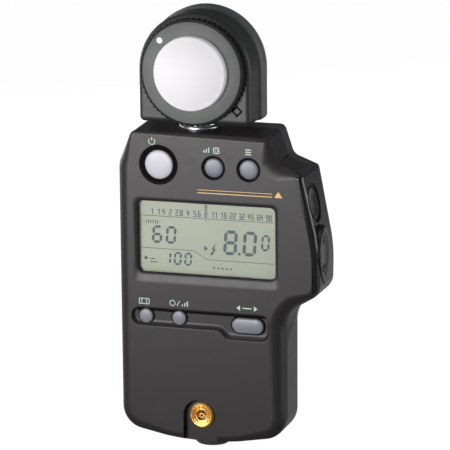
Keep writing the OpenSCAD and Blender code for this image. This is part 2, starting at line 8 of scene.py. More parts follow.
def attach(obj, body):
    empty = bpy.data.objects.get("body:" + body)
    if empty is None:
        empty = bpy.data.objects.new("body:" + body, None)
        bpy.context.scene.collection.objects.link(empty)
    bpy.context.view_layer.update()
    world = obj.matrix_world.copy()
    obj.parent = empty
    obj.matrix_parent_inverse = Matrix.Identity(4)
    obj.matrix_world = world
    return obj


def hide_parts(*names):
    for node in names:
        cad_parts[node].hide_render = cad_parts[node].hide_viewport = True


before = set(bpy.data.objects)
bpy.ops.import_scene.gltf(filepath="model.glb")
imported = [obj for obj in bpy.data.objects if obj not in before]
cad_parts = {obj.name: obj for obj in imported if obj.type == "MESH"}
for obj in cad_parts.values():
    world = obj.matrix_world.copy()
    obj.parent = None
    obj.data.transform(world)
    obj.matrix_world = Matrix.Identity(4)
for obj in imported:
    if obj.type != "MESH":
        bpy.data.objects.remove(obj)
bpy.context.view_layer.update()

MM = 0.001
FRONT, BACK, TOP = -14.0, 9.0, 119.0
HALF_W, REACH = 31.5, 44.9
HEAD_X, HEAD_Y, HEAD_Z, HEAD_BOTTOM, HEAD_R = -3.2, -1.0, 140.5, 121.4, 20.2
RING_FACE = -11.0
SIDE_Y = -6.4
LEAN = math.atan(5.9 / 27.9)
MEASURE = (REACH - (94.9 - 78) * math.tan(LEAN), 94.9)
ROCKER_Z = 75.9
LCD = (2.6, 80.0, 52.0, 26.6)
SYNC = (-0.5, 13.4)
KEYS = {
    "power": (-15.0, 107.0, 5.3),
    "average": (5.8, 106.9, 3.55),
    "memory": (19.0, 106.9, 3.55),
    "iso": (-20.9, 50.2, 2.65),
    "aperture": (-8.2, 50.2, 2.65),
    "mode": (18.0, 49.0, 2.8),
}
MODE_SPAN = 3.2  # half the straight length of the long key
KEY_HOLE = 3.8  # depth to which the keys' holes are cut behind the face
SCREWS = [(24.5, 18), (-1, 27), (-23.8, 101.5), (30.5, 98.5)]

# ---------------------------------------------------------------- camera

YAW, PITCH, ROLL = (math.radians(d) for d in (18.04, 13.19, 0.61))
FOCAL, DISTANCE = 2914.0, 1068.0
back_axis = Vector((math.sin(YAW) * math.cos(PITCH), -math.cos(YAW) * math.cos(PITCH), math.sin(PITCH)))
right_axis = Vector((math.cos(YAW), math.sin(YAW), 0))
up_axis = back_axis.cross(right_axis)
c, s = math.cos(ROLL), math.sin(ROLL)
cam_right = c * right_axis - s * up_axis
cam_up = s * right_axis + c * up_axis
offset = Vector((-23.8 / FOCAL * DISTANCE, -205 / FOCAL * DISTANCE, -DISTANCE))
spot = -(cam_right * offset.x + cam_up * offset.y + back_axis * offset.z) + Vector((0, FRONT, 8.5))
cam_data = bpy.data.cameras.new("camera")
cam_data.sensor_width = 36
cam_data.lens = 36 * FOCAL / 450
cam_data.clip_start, cam_data.clip_end = 0.05, 20
camera = bpy.data.objects.new("camera", cam_data)
bpy.context.scene.collection.objects.link(camera)
turn = Matrix((cam_right, cam_up, back_axis)).transposed().to_4x4()
camera.matrix_world = Matrix.Translation(spot * MM) @ turn
bpy.context.scene.camera = camera

# ---------------------------------------------------------------- materials


def node(tree, kind, **values):
    n = tree.nodes.new(kind)
    for key, value in values.items():
        if key in n.inputs:
            n.inputs[key].default_value = value
        else:
            setattr(n, key, value)
    return n


def material(name, colour, rough=0.45, metal=0.0, grain=0.0, grain_size=0.25, vary=0.06, rough_vary=0.06,
             spec=0.5, coat=0.0, edge=0.0, transmission=0.0, sss=0.0, glow=0.0):
    """Principled finish with a fine moulded grain, a slow change of shade and slightly uneven gloss.
    grain is the bump height, grain_size the size of one grain and edge the softening of edges, in mm."""
    m = bpy.data.materials.new(name)
    m.use_nodes = True
    t = m.node_tree
    p = t.nodes["Principled BSDF"]
    p.inputs["Metallic"].default_value = metal
    p.inputs["Specular IOR Level"].default_value = spec
    p.inputs["Coat Weight"].default_value = coat
    p.inputs["Coat Roughness"].default_value = 0.1
    p.inputs["Transmission Weight"].default_value = transmission
    if sss:
        p.inputs["Subsurface Weight"].default_value = sss
        p.inputs["Subsurface Radius"].default_value = (0.004, 0.004, 0.0035)
        p.inputs["Subsurface Scale"].default_value = 0.6
    # glow is painted light: an emission in the surface's own colour
    if glow:
        p.inputs["Emission Color"].default_value = (*colour, 1)
        p.inputs["Emission Strength"].default_value = glow
    co = node(t, "ShaderNodeTexCoord")
    slow = node(t, "ShaderNodeTexNoise", Scale=55.0, Detail=3.0)
    t.links.new(co.outputs["Object"], slow.inputs["Vector"])
    ramp = node(t, "ShaderNodeValToRGB")
    low = [v * (1 - vary) for v in colour]
    high = [min(1, v * (1 + vary)) for v in colour]
    ramp.color_ramp.elements[0].position, ramp.color_ramp.elements[1].position = 0.35, 0.65
    ramp.color_ramp.elements[0].color = (*low, 1)
    ramp.color_ramp.elements[1].color = (*high, 1)
    t.links.new(slow.outputs["Fac"], ramp.inputs["Fac"])
    t.links.new(ramp.outputs["Color"], p.inputs["Base Color"])
    mid = node(t, "ShaderNodeTexNoise", Scale=240.0, Detail=4.0)
    t.links.new(co.outputs["Object"], mid.inputs["Vector"])
    span = node(t, "ShaderNodeMapRange")
    span.inputs["From Min"].default_value, span.inputs["From Max"].default_value = 0.3, 0.7
    span.inputs["To Min"].default_value = max(0.02, rough - rough_vary)
    span.inputs["To Max"].default_value = min(1, rough + rough_vary)
    t.links.new(mid.outputs["Fac"], span.inputs["Value"])
    t.links.new(span.outputs["Result"], p.inputs["Roughness"])
    normal = None
    if edge:
        bevel = node(t, "ShaderNodeBevel", samples=4)
        bevel.inputs["Radius"].default_value = edge * MM
        normal = bevel.outputs["Normal"]
    if grain:
        fine = node(t, "ShaderNodeTexNoise", Scale=1000.0 / grain_size, Detail=2.0)
        t.links.new(co.outputs["Object"], fine.inputs["Vector"])
        bump = node(t, "ShaderNodeBump", Strength=0.5, Distance=grain * MM)
        t.links.new(fine.outputs["Fac"], bump.inputs["Height"])
        if normal:
            t.links.new(normal, bump.inputs["Normal"])
        normal = bump.outputs["Normal"]
    if normal:
        t.links.new(normal, p.inputs["Normal"])
    return m


MOULDED = dict(grain=0.02, grain_size=0.4, edge=0.12, vary=0.02, rough_vary=0.02)
CAP = dict(grain=0.008, grain_size=0.3, edge=0.3)
MAT = {
    "body_plastic": material("body_plastic", (0.0215, 0.0172, 0.0194), 0.42, spec=0.33, **MOULDED),
    "rear_plastic": material("rear_plastic", (0.048, 0.051, 0.050), 0.40, spec=0.35, **MOULDED),
    "grip_plastic": material("grip_plastic", (0.010, 0.010, 0.0105), 0.24, grain=0.002, grain_size=0.5, edge=0.2,
                             vary=0.02, rough_vary=0.015, spec=0.45),
    "display_window": material("display_window", (0.9, 0.93, 0.9), 0.04, transmission=1.0, vary=0.0, rough_vary=0.01),
    "display_glass": material("display_glass", (0.47, 0.475, 0.395), 0.35, vary=0.015, spec=0.35),
    "frame_plastic": material("frame_plastic", (0.55, 0.55, 0.52), 0.5),
    "connector_rubber": material("connector_rubber", (0.10, 0.10, 0.13), 0.7, grain=0.01),
    "circuit_board": material("circuit_board", (0.02, 0.12, 0.05), 0.35, coat=0.3),
    "chip_resin": material("chip_resin", (0.02, 0.02, 0.02), 0.55, grain=0.01),
    "switch_metal": material("switch_metal", (0.55, 0.55, 0.52), 0.35, metal=0.8),
    "power_cap": material("power_cap", (0.45, 0.435, 0.485), 0.38, vary=0.02, **CAP),
    "upper_caps": material("upper_caps", (0.135, 0.143, 0.175), 0.38, vary=0.03, **CAP),
    "lower_caps": material("lower_caps", (0.17, 0.18, 0.21), 0.38, vary=0.03, **CAP),
    "plated_steel": material("plated_steel", (0.55, 0.56, 0.58), 0.3, metal=1.0),
    "cell_sleeve": material("cell_sleeve", (0.45, 0.27, 0.09), 0.3, coat=0.4),
    "contact_metal": material("contact_metal", (0.62, 0.58, 0.48), 0.3, metal=1.0),
    "gold_plate": material("gold_plate", (1.0, 0.62, 0.20), 0.4, metal=1.0, vary=0.05),
    "insulator": material("insulator", (0.75, 0.73, 0.66), 0.45),
    "tripod_brass": material("tripod_brass", (0.52, 0.42, 0.24), 0.35, metal=1.0),
    "black_screws": material("black_screws", (0.03, 0.03, 0.03), 0.35, metal=0.4, edge=0.1),
    "label_foil": material("label_foil", (0.42, 0.42, 0.43), 0.38, metal=0.5, grain=0.004),
    "neck_chrome": material("neck_chrome", (0.78, 0.78, 0.80), 0.3, metal=1.0, edge=0.15),
    "lead_sleeve": material("lead_sleeve", (0.45, 0.04, 0.03), 0.45),
    "head_plastic": material("head_plastic", (0.026, 0.027, 0.0265), 0.44, spec=0.35, **MOULDED),
    "head_rear_plastic": material("head_rear_plastic", (0.11, 0.121, 0.117), 0.46, spec=0.35, **MOULDED),
    "mark_paint": material("mark_paint", (0.006, 0.006, 0.006), 0.8, grain=0.004, spec=0.04),
    "silicon": material("silicon", (0.10, 0.10, 0.16), 0.2, metal=0.3),
    "filter_glass": material("filter_glass", (0.55, 0.75, 0.85), 0.05, transmission=0.9, vary=0.0, rough_vary=0.01),
    "baffle_white": material("baffle_white", (0.8, 0.8, 0.79), 0.6),
    "ring_plastic": material("ring_plastic", (0.115, 0.120, 0.117), 0.6, grain=0.03, grain_size=0.3, edge=0.15,
                             vary=0.03, spec=0.35),
    # Partly the knurl's own dark tone, partly painted shade for the ring's shadowed side.
    "knurl_dark_and_shade": material("knurl_dark_and_shade", (0.012, 0.012, 0.012), 0.55, grain=0.01, vary=0.03, spec=0.2),
    "dot_paint": material("dot_paint", (0.85, 0.85, 0.83), 0.5, vary=0.01),
    # The dome's emission is painted light: a glow that evens out its brightness in place of light coming through the
    # opal.
    "dome_opal": material("dome_opal", (0.60, 0.585, 0.595), 0.6, vary=0.01, grain=0.004, sss=0.3, glow=0.36,
                          spec=0.25),
    "digits": material("digits", (0.030, 0.045, 0.085), 0.45, vary=0.02),
    "legend_grey": material("legend_grey", (0.10, 0.105, 0.105), 0.4, vary=0.02),
    "legend_green": material("legend_green", (0.48, 0.60, 0.48), 0.5, vary=0.03),
    "legend_gold": material("legend_gold", (0.72, 0.43, 0.14), 0.4, vary=0.03),
    "shadow_black": material("shadow_black", (0.005, 0.005, 0.005), 0.85, grain=0.004, spec=0.04),
}

# ---------------------------------------------------------------- shapes

def unit(v):
    l = math.hypot(*v)
    return (v[0] / l, v[1] / l)


def corner_arc(a, p, b, step):
    """Points round corner p, between a and b: across, up, the outward normal, then the corner's edge sizes."""
    u = unit((a[0] - p[0], a[1] - p[1]))
    w = unit((b[0] - p[0], b[1] - p[1]))
    half = math.acos(max(-1, min(1, u[0] * w[0] + u[1] * w[1]))) / 2
    m = unit((u[0] + w[0], u[1] + w[1]))
    r = p[2]
    centre = (p[0] + m[0] * r / math.sin(half), p[1] + m[1] * r / math.sin(half))
    reach = r / math.tan(half)
    sv = (p[0] + u[0] * reach - centre[0], p[1] + u[1] * reach - centre[1])
    ev = (p[0] + w[0] * reach - centre[0], p[1] + w[1] * reach - centre[1])
    turn_by = math.atan2(sv[0] * ev[1] - sv[1] * ev[0], sv[0] * ev[0] + sv[1] * ev[1])
    side = 1 if turn_by > 0 else -1
    n = max(3, math.ceil(abs(math.degrees(turn_by)) / (step / 3 if r > 15 else step)))
    start = math.atan2(sv[1], sv[0])
    tail = tuple(p[3:6]) if len(p) > 5 else (*p[3:5], 0) if len(p) > 3 else (0, 0, 0)
    out = []
    for k in range(n + 1):
        t = start + turn_by * k / n
        d = (math.cos(t), math.sin(t))
        out.append((centre[0] + d[0] * r, centre[1] + d[1] * r, side * d[0], side * d[1], *tail))
    return out


def outline(corners, step=5.0):
    n = len(corners)
    return [q for i in range(n) for q in corner_arc(corners[i - 1], corners[i], corners[(i + 1) % n], step)]


def ring(points, y, t, back, low=1000.0, rise=0.0):
    """An outline at angle t of the rounding of a plate's front or back edge; above low it rises to the back."""
    out = []
    for p in points:
        r = p[5] if back else p[4]
        inward = r * (1 - math.sin(t))
        deep = y + (-1 if back else 1) * r * (1 - math.cos(t))
        if p[6] and not back:  # a shallow roll-off that ends in a crease
            lean = math.radians(44)
            inward = r * (1 - math.sin(t / (math.pi / 2) * lean) / math.sin(lean))
            deep = y + p[6] * (1 - math.cos(t / (math.pi / 2) * lean)) / (1 - math.cos(lean))
        up = p[1] - p[3] * inward
        if up > low:
            up += rise * (up - low) / (TOP - low) * (deep - FRONT) / (BACK - FRONT)
        out.append(Vector((p[0] - p[2] * inward, deep, up)))
    return out


def new_object(name, bm):
    me = bpy.data.meshes.new(name)
    bmesh.ops.recalc_face_normals(bm, faces=bm.faces)
    bm.to_mesh(me)
    bm.free()
    o = bpy.data.objects.new(name, me)
    bpy.context.scene.collection.objects.link(o)
    return o


def add_loft(bm, rings, closed=True, caps=True):
    """Adds a skin through rings of points in mm, each ring joined end to end."""
    rows = [[bm.verts.new(p * MM) for p in r] for r in rings]
    m = len(rows[0])
    for a, b in zip(rows, rows[1:] + ([rows[0]] if closed is None else [])):
        for i in range(m):
            j = (i + 1) % m
            bm.faces.new((a[i], a[j], b[j], b[i]))
    if caps and closed is not None:
        bm.faces.new(rows[0])
        bm.faces.new(rows[-1][::-1])


def loft(name, rings):
    bm = bmesh.new()
    add_loft(bm, rings)
    return new_object(name, bm)


def rounded_plate(name, corners, y0, y1, low=1000.0, rise=0.0, turns=8, step=5.0):
    pts = outline(corners, step)
    quarter = [math.pi / 2 * k / turns for k in range(turns + 1)]
    rings = [ring(pts, y0, t, False, low, rise) for t in quarter]
    rings += [ring(pts, y1, t, True, low, rise) for t in quarter[::-1]]
    return loft(name, rings)


def face_on(p, y):
    """A flat point (across, up) put at depth y."""
    return Vector((p[0], y, p[1]))


def circle(cx, cz, r, n=64):
    return [(cx + r * math.cos(2 * math.pi * k / n), cz + r * math.sin(2 * math.pi * k / n)) for k in range(n)]


def stadium(cx, cz, half, r, n=24):
    out = [(cx + half + r * math.cos(t), cz + r * math.sin(t)) for t in
           [-math.pi / 2 + math.pi * k / n for k in range(n + 1)]]
    out += [(cx - half + r * math.cos(t), cz + r * math.sin(t)) for t in
            [math.pi / 2 + math.pi * k / n for k in range(n + 1)]]
    return out


def round_rect(cx, cz, w, h, r, n=8):
    out = []
    for sx, sz, a in ((1, -1, -90), (1, 1, 0), (-1, 1, 90), (-1, -1, 180)):
        for k in range(n + 1):
            t = math.radians(a + 90 * k / n)
            out.append((cx + sx * (w / 2 - r) + r * math.cos(t), cz + sz * (h / 2 - r) + r * math.sin(t)))
    return out


def flat_outline(corners, step=5.0):
    return [(p[0], p[1]) for p in outline(corners, step)]


def slab(name, points, y0, y1):
    """A flat shape drawn across and up, from depth y0 to y1."""
    return loft(name, [[face_on(p, y) for p in points] for y in (y0, y1)])


def inset(points, d):
    """Moves every point of an anticlockwise shape inwards by d."""
    n = len(points)
    out = []
    for i, p in enumerate(points):
        a, b = points[i - 1], points[(i + 1) % n]
        tx, tz = b[0] - a[0], b[1] - a[1]
        l = math.hypot(tx, tz) or 1
        out.append((p[0] - tz / l * d, p[1] + tx / l * d))
    return out


def pillow(name, points, y0, y1, edge, turns=5):
    """A slab whose front rim is rounded with radius edge."""
    rings = []
    for k in range(turns + 1):
        t = math.pi / 2 * k / turns
        rings.append([face_on(p, y0 + edge * (1 - math.cos(t))) for p in inset(points, edge * (1 - math.sin(t)))])
    rings.append([face_on(p, y1) for p in points])
    return loft(name, rings)


def box_at(name, low, high):
    pts = [(low[0], low[2]), (high[0], low[2]), (high[0], high[2]), (low[0], high[2])]
    return slab(name, pts, low[1], high[1])


def turned(name, profile, axis="Z", centre=(0, 0, 0), n=96):
    """A closed profile of (radius, along) pairs turned about an axis through centre."""
    bm = bmesh.new()
    rows = []
    for k in range(n):
        t = 2 * math.pi * k / n
        row = []
        for r, h in profile:
            if axis == "Z":
                q = (r * math.cos(t), r * math.sin(t), h)
            else:
                q = (r * math.cos(t), h, r * math.sin(t))
            row.append(bm.verts.new((Vector(q) + Vector(centre)) * MM))
        rows.append(row)
    for a, b in zip(rows, rows[1:] + rows[:1]):
        for i in range(len(profile)):
            j = (i + 1) % len(profile)
            if profile[i][0] < 1e-6 and profile[j][0] < 1e-6:
                continue
            bm.faces.new((a[i], b[i], b[j], a[j]))
    bmesh.ops.remove_doubles(bm, verts=bm.verts, dist=1e-7)
    return new_object(name, bm)


def boolean(o, tools, kind="DIFFERENCE"):
    """Cuts, joins or intersects o with the tools, exactly, and keeps the result as o's mesh."""
    for tool in tools if isinstance(tools, (list, tuple)) else [tools]:
        mod = o.modifiers.new("cut", "BOOLEAN")
        mod.operation, mod.solver, mod.object = kind, "EXACT", tool
        bpy.context.view_layer.update()
        dg = bpy.context.evaluated_depsgraph_get()
        fresh = bpy.data.meshes.new_from_object(o.evaluated_get(dg))
        o.modifiers.clear()
        old, o.data = o.data, fresh
        bpy.data.meshes.remove(old)
        bpy.data.objects.remove(tool, do_unlink=True)
    return o


def finish_piece(o, body, slot, *nodes, smooth=32.0, weighted=True):
    """Gives a piece its material and shading and its body, and hides the CAD nodes that it stands for."""
    me = o.data
    me.materials.clear()
    me.materials.append(MAT[slot])
    for p in me.polygons:
        p.use_smooth = True
        p.material_index = 0
    me.set_sharp_from_angle(angle=math.radians(smooth))
    if weighted:
        w = o.modifiers.new("normals", "WEIGHTED_NORMAL")
        w.keep_sharp = True
    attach(o, body)
    if nodes:
        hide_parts(*nodes)
    return o


def join_bm(name, parts):
    """One object from several, which are removed."""
    bm = bmesh.new()
    for o in parts:
        bm.from_mesh(o.data)
        bpy.data.objects.remove(o, do_unlink=True)
    return new_object(name, bm)


# ---------------------------------------------------------------- body shells

BODY = [(-HALF_W, 7.2, 9, 4.5, 5.6), (0, 2.6, 100, 3, 5), (HALF_W, 7, 9, 4.5, 5.6),
        (HALF_W, 53.8, 10, 5.5, 5), (REACH, 62.3, 6, 3, 4), (REACH, 78, 60, 2.4, 3.5),
        (REACH - 5.9, 105.9, 2, 1.9, 1.8, 1.3), (29.7, 109.4, 4, 6.0, 1.5, 2.0),
        (26.2, TOP, 2.5, 2.4, 1.5, 1.5), (-25.3, TOP, 2.5, 1, 1.5, 0), (-HALF_W, 107.4, 10, 5, 5.6)]
CAVITY = [(-28, 9.5, 5), (28, 9.5, 5), (28, 60, 2), (35.5, 62, 3), (35.5, 98, 3), (27.5, 103, 3),
          (23.5, 115.5, 2), (-23.5, 115.5, 2), (-28, 106, 5)]
GRIP = [(REACH - 2.5, 63, 0.5), (REACH + 5, 63, 0.5), (REACH + 5, 115, 0.5),
        (36.4, 115, 0.5), (36.4, 106.2, 0.5), (REACH - 2.5, 78, 60)]
SEAM = [(-60, -5, 1), (FRONT + 5.2, -5, 1), (FRONT + 5.2, 44.5, 8), (FRONT + 14.5, 48.5, 4),
        (FRONT + 14.5, 130, 1), (-60, 130, 1)]


def body_solid(name):
    return rounded_plate(name, BODY, FRONT, BACK, 110.0, 1.2)


def split_faces(o):
    """Cuts every face into triangles, because its bent quads can tear in a boolean."""
    bm = bmesh.new()
    bm.from_mesh(o.data)
    bmesh.ops.triangulate(bm, faces=bm.faces[:])
    bm.to_mesh(o.data)
    bm.free()


def seam_tool(front):
    if front:
        pts = flat_outline(SEAM)
    else:
        pts = flat_outline([(60, -5, 1), (60, 130, 1), (FRONT + 14.78, 130, 0.5), (FRONT + 14.78, 48.3, 4),
                            (FRONT + 5.48, 44.3, 8), (FRONT + 5.48, -5, 0.5)])
    rings = [[Vector((x, p[0], p[1])) for p in pts] for x in (-60, 60)]
    return loft("seam", rings)


def grip_tool():
    return slab("grip_area", flat_outline(GRIP), FRONT - 5, 5.5)


def cavity_tool():
    o = slab("hollow", flat_outline(CAVITY), FRONT + 1.8, BACK - 1.8)
    boolean(o, box_at("pad", (-30, FRONT, 41), (30, FRONT + 2.8, 56.5)))
    return boolean(o, box_at("pad", (SYNC[0] - 8, FRONT, 0), (SYNC[0] + 8, FRONT + 4.4, 22)))


def groove(points, y0, y1):
    return slab("tool", points, y0, y1)


def sunk(points, depth, lip, foot=0.3, draft=0.0, surface=FRONT, turns=5):
    """A cutter for a recess whose mouth is rounded over and whose floor meets its wall in a small fillet."""
    rings = [[face_on(p, surface - 1) for p in inset(points, -lip)]]
    rings += [[face_on(p, surface + lip * (1 - math.cos(t))) for p in inset(points, -lip * (1 - math.sin(t)))]
              for t in (math.pi / 2 * k / turns for k in range(turns + 1))]
    for k in range(turns + 1):
        t = math.pi / 2 * k / turns
        inner = inset(points, draft + foot * (1 - math.cos(t)))
        rings.append([face_on(p, surface + depth - foot * (1 - math.sin(t))) for p in inner])
    return loft("recess", rings)


def key_tools(name, well, depth):
    x, z, r = KEYS[name]
    return [sunk(circle(x, z, well - 0.35, 96), depth, 0.35, 0.2, 0.3),
            groove(circle(x, z, r + 0.1), FRONT - 1, FRONT + KEY_HOLE)]


def neck_tool():
    return turned("neck", [(0, 110), (6.5, 110), (6.5, TOP + 0.1), (7.8, TOP + 0.1), (7.8, 130), (0, 130)],
                  centre=(HEAD_X, HEAD_Y, 0))


def lens_points(l, w, grow, n=40):
    """A lens l long and w wide, grown all round, as (across, along) points."""
    r = (l * l / 4 + w * w / 4) / w
    rr = r + grow
    off = r - w / 2
    half = math.sqrt(rr * rr - off * off)
    edge = math.asin(half / rr)
    out = []
    for side in (1, -1):
        for k in range(n):
            t = -edge + 2 * edge * k / n
            out.append((side * (rr * math.cos(t) - off), side * rr * math.sin(t)))
    return out


def rocker_rings(stations):
    """Rings of the lens shape at depths along X; each station is (x, growth)."""
    return [[Vector((x, SIDE_Y + p[0], ROCKER_Z + p[1])) for p in lens_points(22, 12.4, g)] for x, g in stations]


def on_side(u, v, w):
    """A point of the sloping side's own frame: u down along it, v to the back, w outwards."""
    out = Vector((math.cos(LEAN), 0, math.sin(LEAN)))
    down = Vector((math.sin(LEAN), 0, -math.cos(LEAN)))
    return Vector((MEASURE[0], SIDE_Y, MEASURE[1])) + down * u + Vector((0, 1, 0)) * v + out * w


def side_loft(name, stations):
    """A stadium on the sloping side; each station is (half span, radius, height)."""
    rings = []
    for span, r, w in stations:
        rings.append([on_side(p[0], p[1], w) for p in stadium(0, 0, span, r)])
    return loft(name, rings)


front = body_solid("front_shell")
boolean(front, seam_tool(True), "INTERSECT")
boolean(front, cavity_tool())
front_cuts = [grip_tool()]
front_cuts += key_tools("power", 7.5, 0.9) + key_tools("average", 4.65, 0.9) + key_tools("memory", 4.65, 0.9)
TROUGH = [(-26.1, 46.8, 3), (7.2, 46.8, 3), (10.4, 43.7, 3), (26.1, 43.7, 3), (26.1, 53.4, 3), (-26.1, 53.4, 3)]


def trough_cutter():
    """The key trough: its floor is deepest along the top and climbs towards the lower edge."""
    pts = flat_outline(TROUGH, 9)
    top = 53.4
    rings = [[face_on(p, FRONT - 1) for p in inset(pts, -0.45)]]
    for inward, deep, climb in ((-0.45, 0.0, 1), (-0.2, 0.05, 1), (0.0, 0.22, 1), (0.08, 0.5, 0.985), (0.16, 0.8, 0.96),
                                (0.28, 1.1, 0.925), (0.45, 1.35, 0.88), (0.8, 1.5, 0.82)):
        rings.append([Vector((p[0], FRONT + deep, top - (top - p[1]) * climb)) for p in inset(pts, inward)])
    return loft("trough", rings)


front_cuts += [trough_cutter()]
front_cuts += [groove(circle(KEYS[k][0], KEYS[k][1], 2.75), FRONT - 1, FRONT + KEY_HOLE)
               for k in ("iso", "aperture")]
front_cuts += [groove(stadium(KEYS["mode"][0], KEYS["mode"][1], MODE_SPAN, 2.9), FRONT - 1, FRONT + KEY_HOLE)]
front_cuts += [sunk(round_rect(LCD[0], LCD[1] - 1, LCD[2] + 3.4, LCD[3] + 4.8, 2.7), 0.9, 0.3, 0.2, 0.2),
               groove(round_rect(LCD[0], LCD[1], LCD[2], LCD[3], 2), FRONT - 1, FRONT + 2.8)]
SLOT_R = 6.35  # half the width of the sync socket's slot
slot_arc = [math.pi * k / 40 for k in range(41)]
slot_pts = [(SYNC[0] + SLOT_R, -8)]
slot_pts += [(SYNC[0] + SLOT_R * math.cos(t), SYNC[1] + 0.2 + SLOT_R * math.sin(t)) for t in slot_arc]
slot_pts += [(SYNC[0] - SLOT_R, -8)]
front_cuts += [groove(slot_pts, FRONT - 1, FRONT + 2.6),
               groove(circle(SYNC[0], SYNC[1], 3.9), FRONT - 1, FRONT + 6),
               groove(circle(SYNC[0], SYNC[1], 5.8), FRONT + 4.4, FRONT + 7),
               neck_tool(), box_at("window", (34, -12, 67.5), (REACH, 0, 101)),
               loft("pocket", rocker_rings([(REACH - 3.8, 0.4), (REACH + 5, 0.4)]))]
boolean(front, front_cuts)
finish_piece(front, "body", "body_plastic", "front_cover")

rear = body_solid("rear_shell")
split_faces(rear)
boolean(rear, seam_tool(False), "INTERSECT")
boolean(rear, slab("hollow", flat_outline(CAVITY), FRONT + 1.8, BACK - 1.8))
boss = turned("boss", [(0, 0.3), (5.9, 0.3), (8.2, 2.6), (8.2, 9.5), (0, 9.5)], n=96)
boolean(rear, boss, "UNION")
posts = [groove(circle(x, z, 2.4, 32), 0.6, BACK - 1.6) for x, z in SCREWS]
boolean(rear, posts, "UNION")
dx0, dx1 = -15 - 9.5, -15 + 9.5
rear_cuts = [grip_tool(), turned("bore", [(0, -1), (4.6, -1), (4.6, 19), (0, 19)]),
             box_at("door_a", (dx0 - 0.15, BACK - 1.05, -10), (dx1 + 0.15, BACK + 5, 62.15)),
             box_at("door_b", (dx0 - 1.15, BACK - 1.95, -10), (dx1 + 1.15, BACK - 0.75, 62.15)),
             groove(circle(SYNC[0], SYNC[1], 5.8), FRONT + 4.4, FRONT + 7), neck_tool(),
             groove(round_rect(11, 46, 26, 34, 2), BACK - 0.4, BACK + 1)]
for x, z in SCREWS:
    rear_cuts += [groove(circle(x, z, 1.9, 32), BACK - 1.4, BACK + 1), groove(circle(x, z, 1.0, 32), 0, BACK + 1)]
boolean(rear, rear_cuts)
finish_piece(rear, "body", "rear_plastic", "rear_cover")

door = body_solid("door_shell")
channel = box_at("channel", (dx0, BACK - 0.9, -10), (dx1, BACK + 5, 62))
boolean(channel, box_at("lip", (dx0 - 1, BACK - 1.8, -10), (dx1 + 1, BACK - 0.9, 62)), "UNION")
boolean(door, channel, "INTERSECT")
boolean(door, [box_at("rib", (-20, BACK - 0.35, 50 + 2 * k), (-10, BACK + 1, 51 + 2 * k)) for k in range(5)])
finish_piece(door, "door", "rear_plastic", "battery_door")

grip = body_solid("grip_shell")
GRIP_GAP = 0.3  # between the grip and the covers, along the grip's inner edge
grip_area = [(p[0] + GRIP_GAP if i in (0, 5) else p[0], p[1], p[2]) for i, p in enumerate(GRIP)]
boolean(grip, slab("grip_area", flat_outline(grip_area), FRONT - 5, 5.4), "INTERSECT")
well = [(1, 6.0, -0.9), (1, 6.15, -0.75), (1, 6.2, -0.6), (1, 6.2, -0.35), (1, 6.35, -0.1), (1, 6.75, 0.2)]
grip_cuts = [side_loft("well", well + [(1, 7.3, 0.5), (1, 7.3, 4.1)]),
             side_loft("hole", [(1.5, 4.4, -12), (1.5, 4.4, 8)]),
             side_loft("room", [(1.5, 5.5, -14), (1.5, 5.5, -2.1)]),
             loft("pocket", rocker_rings([(REACH - 10, 0.4), (REACH + 5, 0.4)])),
             turned("pin", [(0, SIDE_Y - 7), (0.8, SIDE_Y - 7), (0.8, SIDE_Y + 7), (0, SIDE_Y + 7)], axis="Y",
                    centre=(REACH - 1.9, 0, ROCKER_Z), n=32)]
boolean(grip, grip_cuts)
finish_piece(grip, "body", "grip_plastic", "grip_module")

# Black strips inside the walls, so that no light shows through the seam
strips = []
for x, top in ((-28, 105), (28, 60)):
    for y_low, y_high, low, high in ((4.8, 6.2, 11, 44), (4.8, 15.5, 42, 52), (14.1, 15.5, 50, top)):
        strips.append(box_at("strip", (x - 0.3, FRONT + y_low, low), (x + 0.3, FRONT + y_high, high)))
for x, low in ((-18, 5.5), (-8, 4.2), (8, 4.2)):
    strips.append(box_at("strip", (x - 1, FRONT + 4.9, low), (x + 1, FRONT + 6.1, 10)))
strips.append(box_at("strip", (35.2, FRONT + 14.1, 63), (35.8, FRONT + 15.5, 97)))
finish_piece(join_bm("seam_backing", strips), "body", "shadow_black", weighted=False)

# ---------------------------------------------------------------- head


def arch(r, edge_front, edge_back):
    return [(HEAD_X - r, HEAD_BOTTOM, 2, edge_front, edge_back), (HEAD_X + r, HEAD_BOTTOM, 2, edge_front, edge_back),
            (HEAD_X + r, HEAD_Z + r, r - 0.02, edge_front, edge_back),
            (HEAD_X - r, HEAD_Z + r, r - 0.02, edge_front, edge_back)]


def hollow(y0, y1, d):
    pts = flat_outline([(HEAD_X - HEAD_R + d, HEAD_BOTTOM + 2.2, 2), (HEAD_X + HEAD_R - d, HEAD_BOTTOM + 2.2, 2),
                        (HEAD_X + HEAD_R - d, HEAD_Z + HEAD_R - d, HEAD_R - d - 0.05),
                        (HEAD_X - HEAD_R + d, HEAD_Z + HEAD_R - d, HEAD_R - d - 0.05)])
    return slab("hollow", pts, y0, y1)


plate = rounded_plate("head_shell", arch(HEAD_R + 1, 1.95, 0.01), -8, 3.2, turns=8)
boolean(plate, [groove(circle(HEAD_X, HEAD_Z, 15.56, 128), -9, -3.8), groove(circle(HEAD_X, HEAD_Z, 12, 96), -9, -2),
                hollow(-2.6, 6, 2),
                turned("bore", [(0, 120.4), (5, 120.4), (5, 123.6), (6.6, 123.6), (6.6, 125.1), (0, 125.1)],
                       centre=(HEAD_X, HEAD_Y, 0))])
finish_piece(plate, "head", "head_plastic", "head_front")

shell = rounded_plate("head_back_shell", arch(HEAD_R + 2, 1.9, 2.4), 3.4, 11.5, turns=7)
boolean(shell, [hollow(3, 9.7, 2.4)] + [groove(circle(HEAD_X + x, HEAD_BOTTOM + 5, 1.9, 32), 10.3, 12.5)
                                        for x in (-12, 12)])
finish_piece(shell, "head", "head_rear_plastic", "head_rear")

